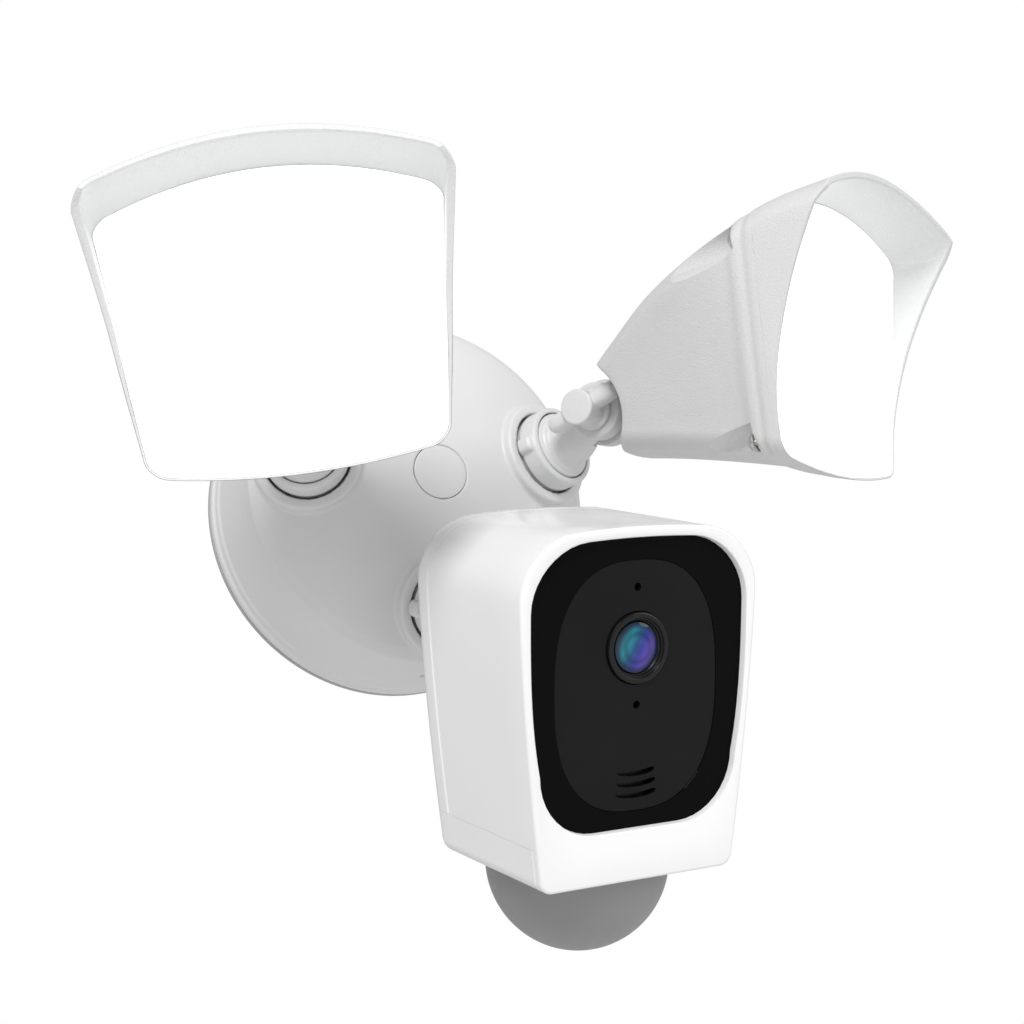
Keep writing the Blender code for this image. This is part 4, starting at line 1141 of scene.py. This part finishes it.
def body_half_width(height):
    drop = max(BODY_SHOULDER - height, 0.0) / (BODY_SHOULDER - BODY_BOTTOM)
    return BODY_HALF_WIDTH - (BODY_HALF_WIDTH - BODY_FOOT_HALF_WIDTH) * drop**1.5


def top_arch(x, y):
    """How far the crowned top of the body lowers a point."""
    return BODY_ARCH * max(y / BODY_TOP, 0.0) * (x / BODY_HALF_WIDTH) ** 2


def body_loop(ahead, inset=0.0, foot_corner=BODY_FOOT_CORNER):
    """The camera body's cross-section at a distance ahead of the lens."""
    outline = rounded_outline(
        lambda y: body_half_width(y) - inset,
        BODY_BOTTOM + inset,
        BODY_TOP - inset,
        foot_corner,
        BODY_TOP_CORNER - inset / 2,
    )
    lean = BODY_REAR_LEAN / (BODY_TOP - BODY_BOTTOM) if ahead < BODY_SEAM / 2 else 0.0
    arched = [(x, y - top_arch(x, y)) for x, y in outline]
    return [Vector((x, y, ahead + lean * (BODY_TOP - y))) for x, y in arched]


def panel_loop(ahead, grow=0.0):
    """The outline of the camera's black front panel."""

    def half_width_at(y):
        drop = max(BODY_SHOULDER - y, 0.0) / (BODY_SHOULDER - PANEL_BOTTOM)
        return PANEL_HALF_WIDTH - (PANEL_HALF_WIDTH - PANEL_FOOT_HALF_WIDTH) * drop**3.2 + grow

    outline = rounded_outline(
        half_width_at, PANEL_BOTTOM - grow, PANEL_TOP + grow, PANEL_CORNER, PANEL_CORNER
    )
    return [Vector((x, y - top_arch(x, y), ahead)) for x, y in outline]


def make_front_shell(finish):
    """The glossy body: a recess round the panel, a soft bezel and the long side wall."""
    loops = [
        body_loop(BODY_SEAM, BODY_WALL),
        body_loop(-4.0, BODY_WALL),
        body_loop(LEDGE_BACK, BODY_WALL),
        panel_loop(LEDGE_BACK, 0.3),
        panel_loop(-1.2, 0.0),
        panel_loop(1.0, 0.12),
        panel_loop(1.4, 0.3),
        panel_loop(BEZEL_FRONT, 0.7),
        body_loop(BEZEL_FRONT, BEZEL_ROUND),
    ]
    for k in range(1, 7):
        a = math.pi / 2 * k / 6
        ahead = BEZEL_FRONT - BEZEL_ROUND * (1 - math.cos(a))
        loops.append(body_loop(ahead, BEZEL_ROUND * (1 - math.sin(a))))
    loops += [body_loop(-10.0), body_loop(-20.0), body_loop(BODY_SEAM / 2 - 0.1)]
    loops += [body_loop(-35.0), body_loop(BODY_SEAM + 0.5), body_loop(BODY_SEAM, 0.5)]
    shell = body_object("camera_shell", ring_lofted(loops))
    cut(shell, in_body(block((-60, BODY_BOTTOM - 5, BODY_SEAM - 10), (60, BOTTOM_SEAM, -1.0))))
    finish_piece(shell, finish["gloss"], "camera_head", "front_shell", 30)


def rear_rounding():
    """(ahead, inset) from the seam round to the flat back."""
    depth, reach = 8.0, 11.0
    rings = []
    for k in range(10):
        a = math.pi / 2 * k / 9
        rings.append((BODY_REAR + depth * (1 - math.sin(a)), reach * (1 - math.cos(a))))
    return rings


def make_rear_cover(finish):
    """The back of the body, with a flared neck into the hinge's lug."""
    side = SCREW_SIDE["camera"]
    loops = [body_loop(BODY_SEAM - GAP, 0.5), body_loop(BODY_SEAM - GAP - 0.5)]
    loops += [body_loop(ahead, inset) for ahead, inset in rear_rounding()]
    cover = body_object("camera_back", lofted(loops))
    cut(cover, in_body(lofted([body_loop(BODY_SEAM + 2, 2.5), body_loop(BODY_REAR + 2.6, 7.0)])))
    below = block((-60, BODY_BOTTOM - 5, BODY_REAR - 1), (60, BOTTOM_SEAM, BODY_SEAM + 6))
    cut(cover, in_body(below))
    middle = -side * (LUG_THICKNESS + HINGE_PLAY) / 2
    front = LENS_AHEAD + BODY_REAR + 1.5
    neck = []
    for k in range(9):
        share = k / 8
        along = 2.0 + (front - 2.0) * share
        flare = 9.3 + 5.5 * share**3
        thin = 0.33 + 0.67 * share**2.5
        centre = middle * (1 - share)
        neck.append([Vector((thin * p.x + centre, p.y, along)) for p in circle(flare, 0, 64)])
    join(cover, lofted(neck), hinge_ear(LUG_RADIUS, LUG_THICKNESS, -side))
    cut(cover, hinge_room(EAR_RADIUS + 1.0, -HINGE_PLAY, 16.0, side))
    cut(cover, hinge_hole(-1.0, LUG_THICKNESS + 1.0, -side))
    finish_piece(cover, finish["gloss"], "camera_head", "rear_cover", 30)


def make_bottom_cover(finish):
    """The underside of the body, open above the motion sensor's dome."""
    loops = [body_loop(-1.0 - GAP, 0.4), body_loop(-1.4 - GAP), body_loop(-20.0)]
    loops += [body_loop(BODY_SEAM / 2 - 0.1), body_loop(BODY_SEAM)]
    loops += [body_loop(ahead, inset) for ahead, inset in rear_rounding()]
    cover = body_object("camera_base", lofted(loops))
    cut(cover, in_body(block((-60, BOTTOM_SEAM - 0.06, -90), (60, 60, 20))))
    cut(cover, in_body(block((-29, BODY_BOTTOM + 2.6, BODY_REAR + 6), (29, 0, -4))))
    opening = placed(rod(PIR_RADIUS - 4.0, -72, -40), Matrix.Rotation(-math.pi / 2, 4, "X"))
    cut(cover, in_body(moved(opening, z=PIR_CENTRE[1])))
    finish_piece(cover, finish["gloss"], "camera_head", "bottom_cover", 30)


def dish_loop(ahead, grow=0.0):
    """The oval of the panel's satin middle, with a point for each point of the panel's outline."""
    half_x, half_y, middle = DISH
    points = []
    for p in panel_loop(ahead):
        a = math.atan2((p.y - middle) / half_y, p.x / half_x)
        cos, sin = math.cos(a), math.sin(a)
        x = (half_x + grow) * math.copysign(abs(cos) ** DISH_SQUARENESS, cos)
        y = (half_y + grow) * math.copysign(abs(sin) ** DISH_SQUARENESS, sin)
        points.append(Vector((x, middle + y, ahead)))
    return points


def slot_cutter(y, half):
    """One of the speaker's openings, which curves up at its ends."""
    points = []
    for k in range(25):
        x = -half + 2 * half * k / 24
        thin = 0.8 * math.sqrt(max(1 - (abs(x) / half) ** 8, 0.0)) + 0.02
        points.append((x, y + 0.9 * (x / half) ** 2, thin))
    upper = [(x, middle + thin) for x, middle, thin in points]
    lower = [(x, middle - thin) for x, middle, thin in reversed(points)]
    return lofted([[Vector((x, v, z)) for x, v in lower + upper] for z in (-6.0, 4.0)])


def make_front_panel(finish):
    """A gloss black plate, and the satin oval let into it, with its openings."""
    front = BEZEL_BACK - GAP
    back = front - 2.4
    rim = [
        panel_loop(back, 0.3),
        panel_loop(front - 0.2, 0.3),
        panel_loop(front, 0.1),
        dish_loop(front, 0.12),
        dish_loop(front - 0.1, 0.04),
        dish_loop(back, 0.04),
    ]
    plate = body_object("panel_frame", ring_lofted(rim))
    finish_piece(plate, finish["panel"], "camera_head", "front_panel", 25)

    loops = [dish_loop(back), dish_loop(front - 0.3), dish_loop(front - 0.2, -0.15)]
    dish = body_object("panel_dish", lofted(loops))
    cut(dish, in_body(rod(BARREL_RADIUS + GAP, -6, 4)))
    for y in PINHOLES:
        cut(dish, in_body(moved(rod(PINHOLE_RADIUS, -6, 4, 40), y=y)))
    for y, half in SPEAKER_SLOTS:
        cut(dish, in_body(slot_cutter(y, half)))
    finish_piece(dish, finish["dish"], "camera_head", "front_panel", 25)


def make_camera_lens(finish):
    """The stepped black barrel, and the coated glass in it."""
    profile = [
        (7.6, -14.0),
        (BARREL_RADIUS, -14.0),
        (BARREL_RADIUS, 0.2, 0.7),
        (8.9, 0.2, 0.3),
        (8.7, -0.5, 0.1),
        (8.3, -0.5, 0.1),
        (8.1, -1.2, 0.1),
        (7.6, -1.6, 0.1),
    ]
    barrel = body_object("lens_ring", turned_ring(profile, 128))
    finish_piece(barrel, finish["black"], "camera_head", "lens_barrel", 25)
    dome = [(GLASS_RADIUS + 0.1, -6.0), (GLASS_RADIUS + 0.1, -2.2)]
    foot = -1.25 - math.sqrt(GLASS_BULGE**2 - GLASS_RADIUS**2)
    for k in range(12):
        radius = GLASS_RADIUS * (1 - k / 12)
        dome.append((radius, foot + math.sqrt(GLASS_BULGE**2 - radius**2)))
    glass = body_object("lens_front", turned(dome, 128))
    finish_piece(glass, finish["glass"], "camera_head", "lens_glass", 40, level=False)


def make_motion_dome(finish):
    """The frosted dome of the motion sensor, a hollow half ball under the body."""
    height, ahead = PIR_CENTRE
    rim = BODY_BOTTOM - GAP
    inner_radius = PIR_RADIUS - PIR_WALL
    outer = []
    inner = []
    for k in range(41):
        a = math.radians(-88 + 86 * k / 40)
        outer.append((PIR_RADIUS * math.cos(a), height + PIR_RADIUS * math.sin(a)))
        inner.append((inner_radius * math.cos(a), height + 0.942 * PIR_RADIUS * math.sin(a)))
    down = Matrix.Rotation(-math.pi / 2, 4, "X")
    ball = placed(turned([*outer, (PIR_RADIUS, rim)], 128), down)
    dome = body_object("motion_dome", moved(ball, z=ahead))
    hollow = placed(turned([*inner, (inner_radius, rim + 1.0)], 96), down)
    cut(dome, in_body(moved(hollow, z=ahead)))
    finish_piece(dome, finish["frosted"], "camera_head", "pir_dome", 40)


# ---------------------------------------------------------------- carried-over nodes


def dress_kept_nodes(finish):
    """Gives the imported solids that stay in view, or inside, their finishes."""
    black = "transformer terminal_block image_sensor speaker light_sensor microphone"
    kept = {
        "steel": ["centre_bolt", "pir_sensor", *[f"{unit}_arm_clip" for unit in UNITS]],
        "rubber": [f"{unit}_nut_gasket" for unit in UNITS],
        "board": ["driver_board", "main_board", *[f"{unit}_led_board" for unit in LAMPS]],
        "mirror": [f"{unit}_reflector" for unit in LAMPS],
        "black": black.split(),
    }
    kept["rubber"] += [f"{unit}_lamp_gasket" for unit in LAMPS]
    for name, nodes in kept.items():
        for node in nodes:
            materials = frame["nodes"][node].data.materials
            for index in range(len(materials)):
                materials[index] = finish[name]


# ---------------------------------------------------------------- stage


def aimed(position, target):
    """The turn that points a light or a camera's -z at a target."""
    return (Vector(target) - Vector(position)).to_track_quat("-Z", "Y").to_matrix().to_4x4()


def make_light(name, position, target, size, power):
    data = bpy.data.lights.new(name, "AREA")
    data.shape = "DISK"
    data.size = size
    data.energy = power
    light = bpy.data.objects.new(name, data)
    bpy.context.scene.collection.objects.link(light)
    light.matrix_world = Matrix.Translation(position) @ aimed(position, target)


def make_world():
    """White studio surroundings: plain white behind the object, a little dimmer as light."""
    world = bpy.data.worlds.new("studio")
    bpy.context.scene.world = world
    world.use_nodes = True
    tree = world.node_tree
    background = tree.nodes["Background"]
    background.inputs["Color"].default_value = (1.0, 1.0, 1.0, 1.0)
    seen = tree.nodes.new("ShaderNodeLightPath")
    level = tree.nodes.new("ShaderNodeMapRange")
    level.inputs["To Min"].default_value = AMBIENT
    level.inputs["To Max"].default_value = 1.0
    tree.links.new(seen.outputs["Is Camera Ray"], level.inputs["Value"])
    tree.links.new(level.outputs["Result"], background.inputs["Strength"])


def make_floor():
    nodes = Nodes("studio_floor", (0.85, 0.85, 0.85), 0.7)
    nodes.set("Roughness", nodes.ranged(nodes.noise(60.0), 0.65, 0.8))
    mesh = bmesh.new()
    bmesh.ops.create_grid(mesh, x_segments=8, y_segments=8, size=3000.0)
    floor = make_object("floor", mesh, Matrix.Translation((0, 0, FLOOR_HEIGHT / MM)))
    floor.data.materials.append(nodes.material)


def make_camera():
    """The viewpoint: low and to the left of the object, looking up at it."""
    data = bpy.data.cameras.new("viewpoint")
    data.sensor_width = 36.0
    data.lens = VIEW_LENS
    data.clip_start = 0.01
    camera = bpy.data.objects.new("viewpoint", data)
    bpy.context.scene.collection.objects.link(camera)
    back = Vector(VIEW_BACK).normalized()
    right = Vector(VIEW_UP).cross(back).normalized()
    camera.matrix_world = frame_of(right, back.cross(right), back, VIEW_POSITION)
    bpy.context.scene.camera = camera


# ---------------------------------------------------------------- whole


def main():
    bpy.context.scene.view_settings.view_transform = "Standard"
    make_camera()
    make_world()
    make_floor()
    make_light("key", (-0.9, -1.8, 1.1), (0, -0.08, 0), 1.0, 34.0)
    make_light("fill", (1.5, -1.3, 0.4), (0, -0.08, 0), 1.2, 9.0)
    finish = make_finishes()
    make_canopy(finish)
    make_canopy_plug(finish)
    make_canopy_back(finish)
    for unit in UNITS:
        make_lock_nut(unit, finish)
        make_arm(unit, finish)
        make_wing_screw(unit, finish)
        make_hinge_nut(unit, finish)
    for unit in LAMPS:
        make_lamp_housing(unit, finish)
        make_lamp_hood(unit, finish)
        make_lamp_lens(unit, finish)
        make_lamp_screws(unit, finish)
    make_front_shell(finish)
    make_rear_cover(finish)
    make_bottom_cover(finish)
    make_front_panel(finish)
    make_camera_lens(finish)
    make_motion_dome(finish)
    dress_kept_nodes(finish)


main()
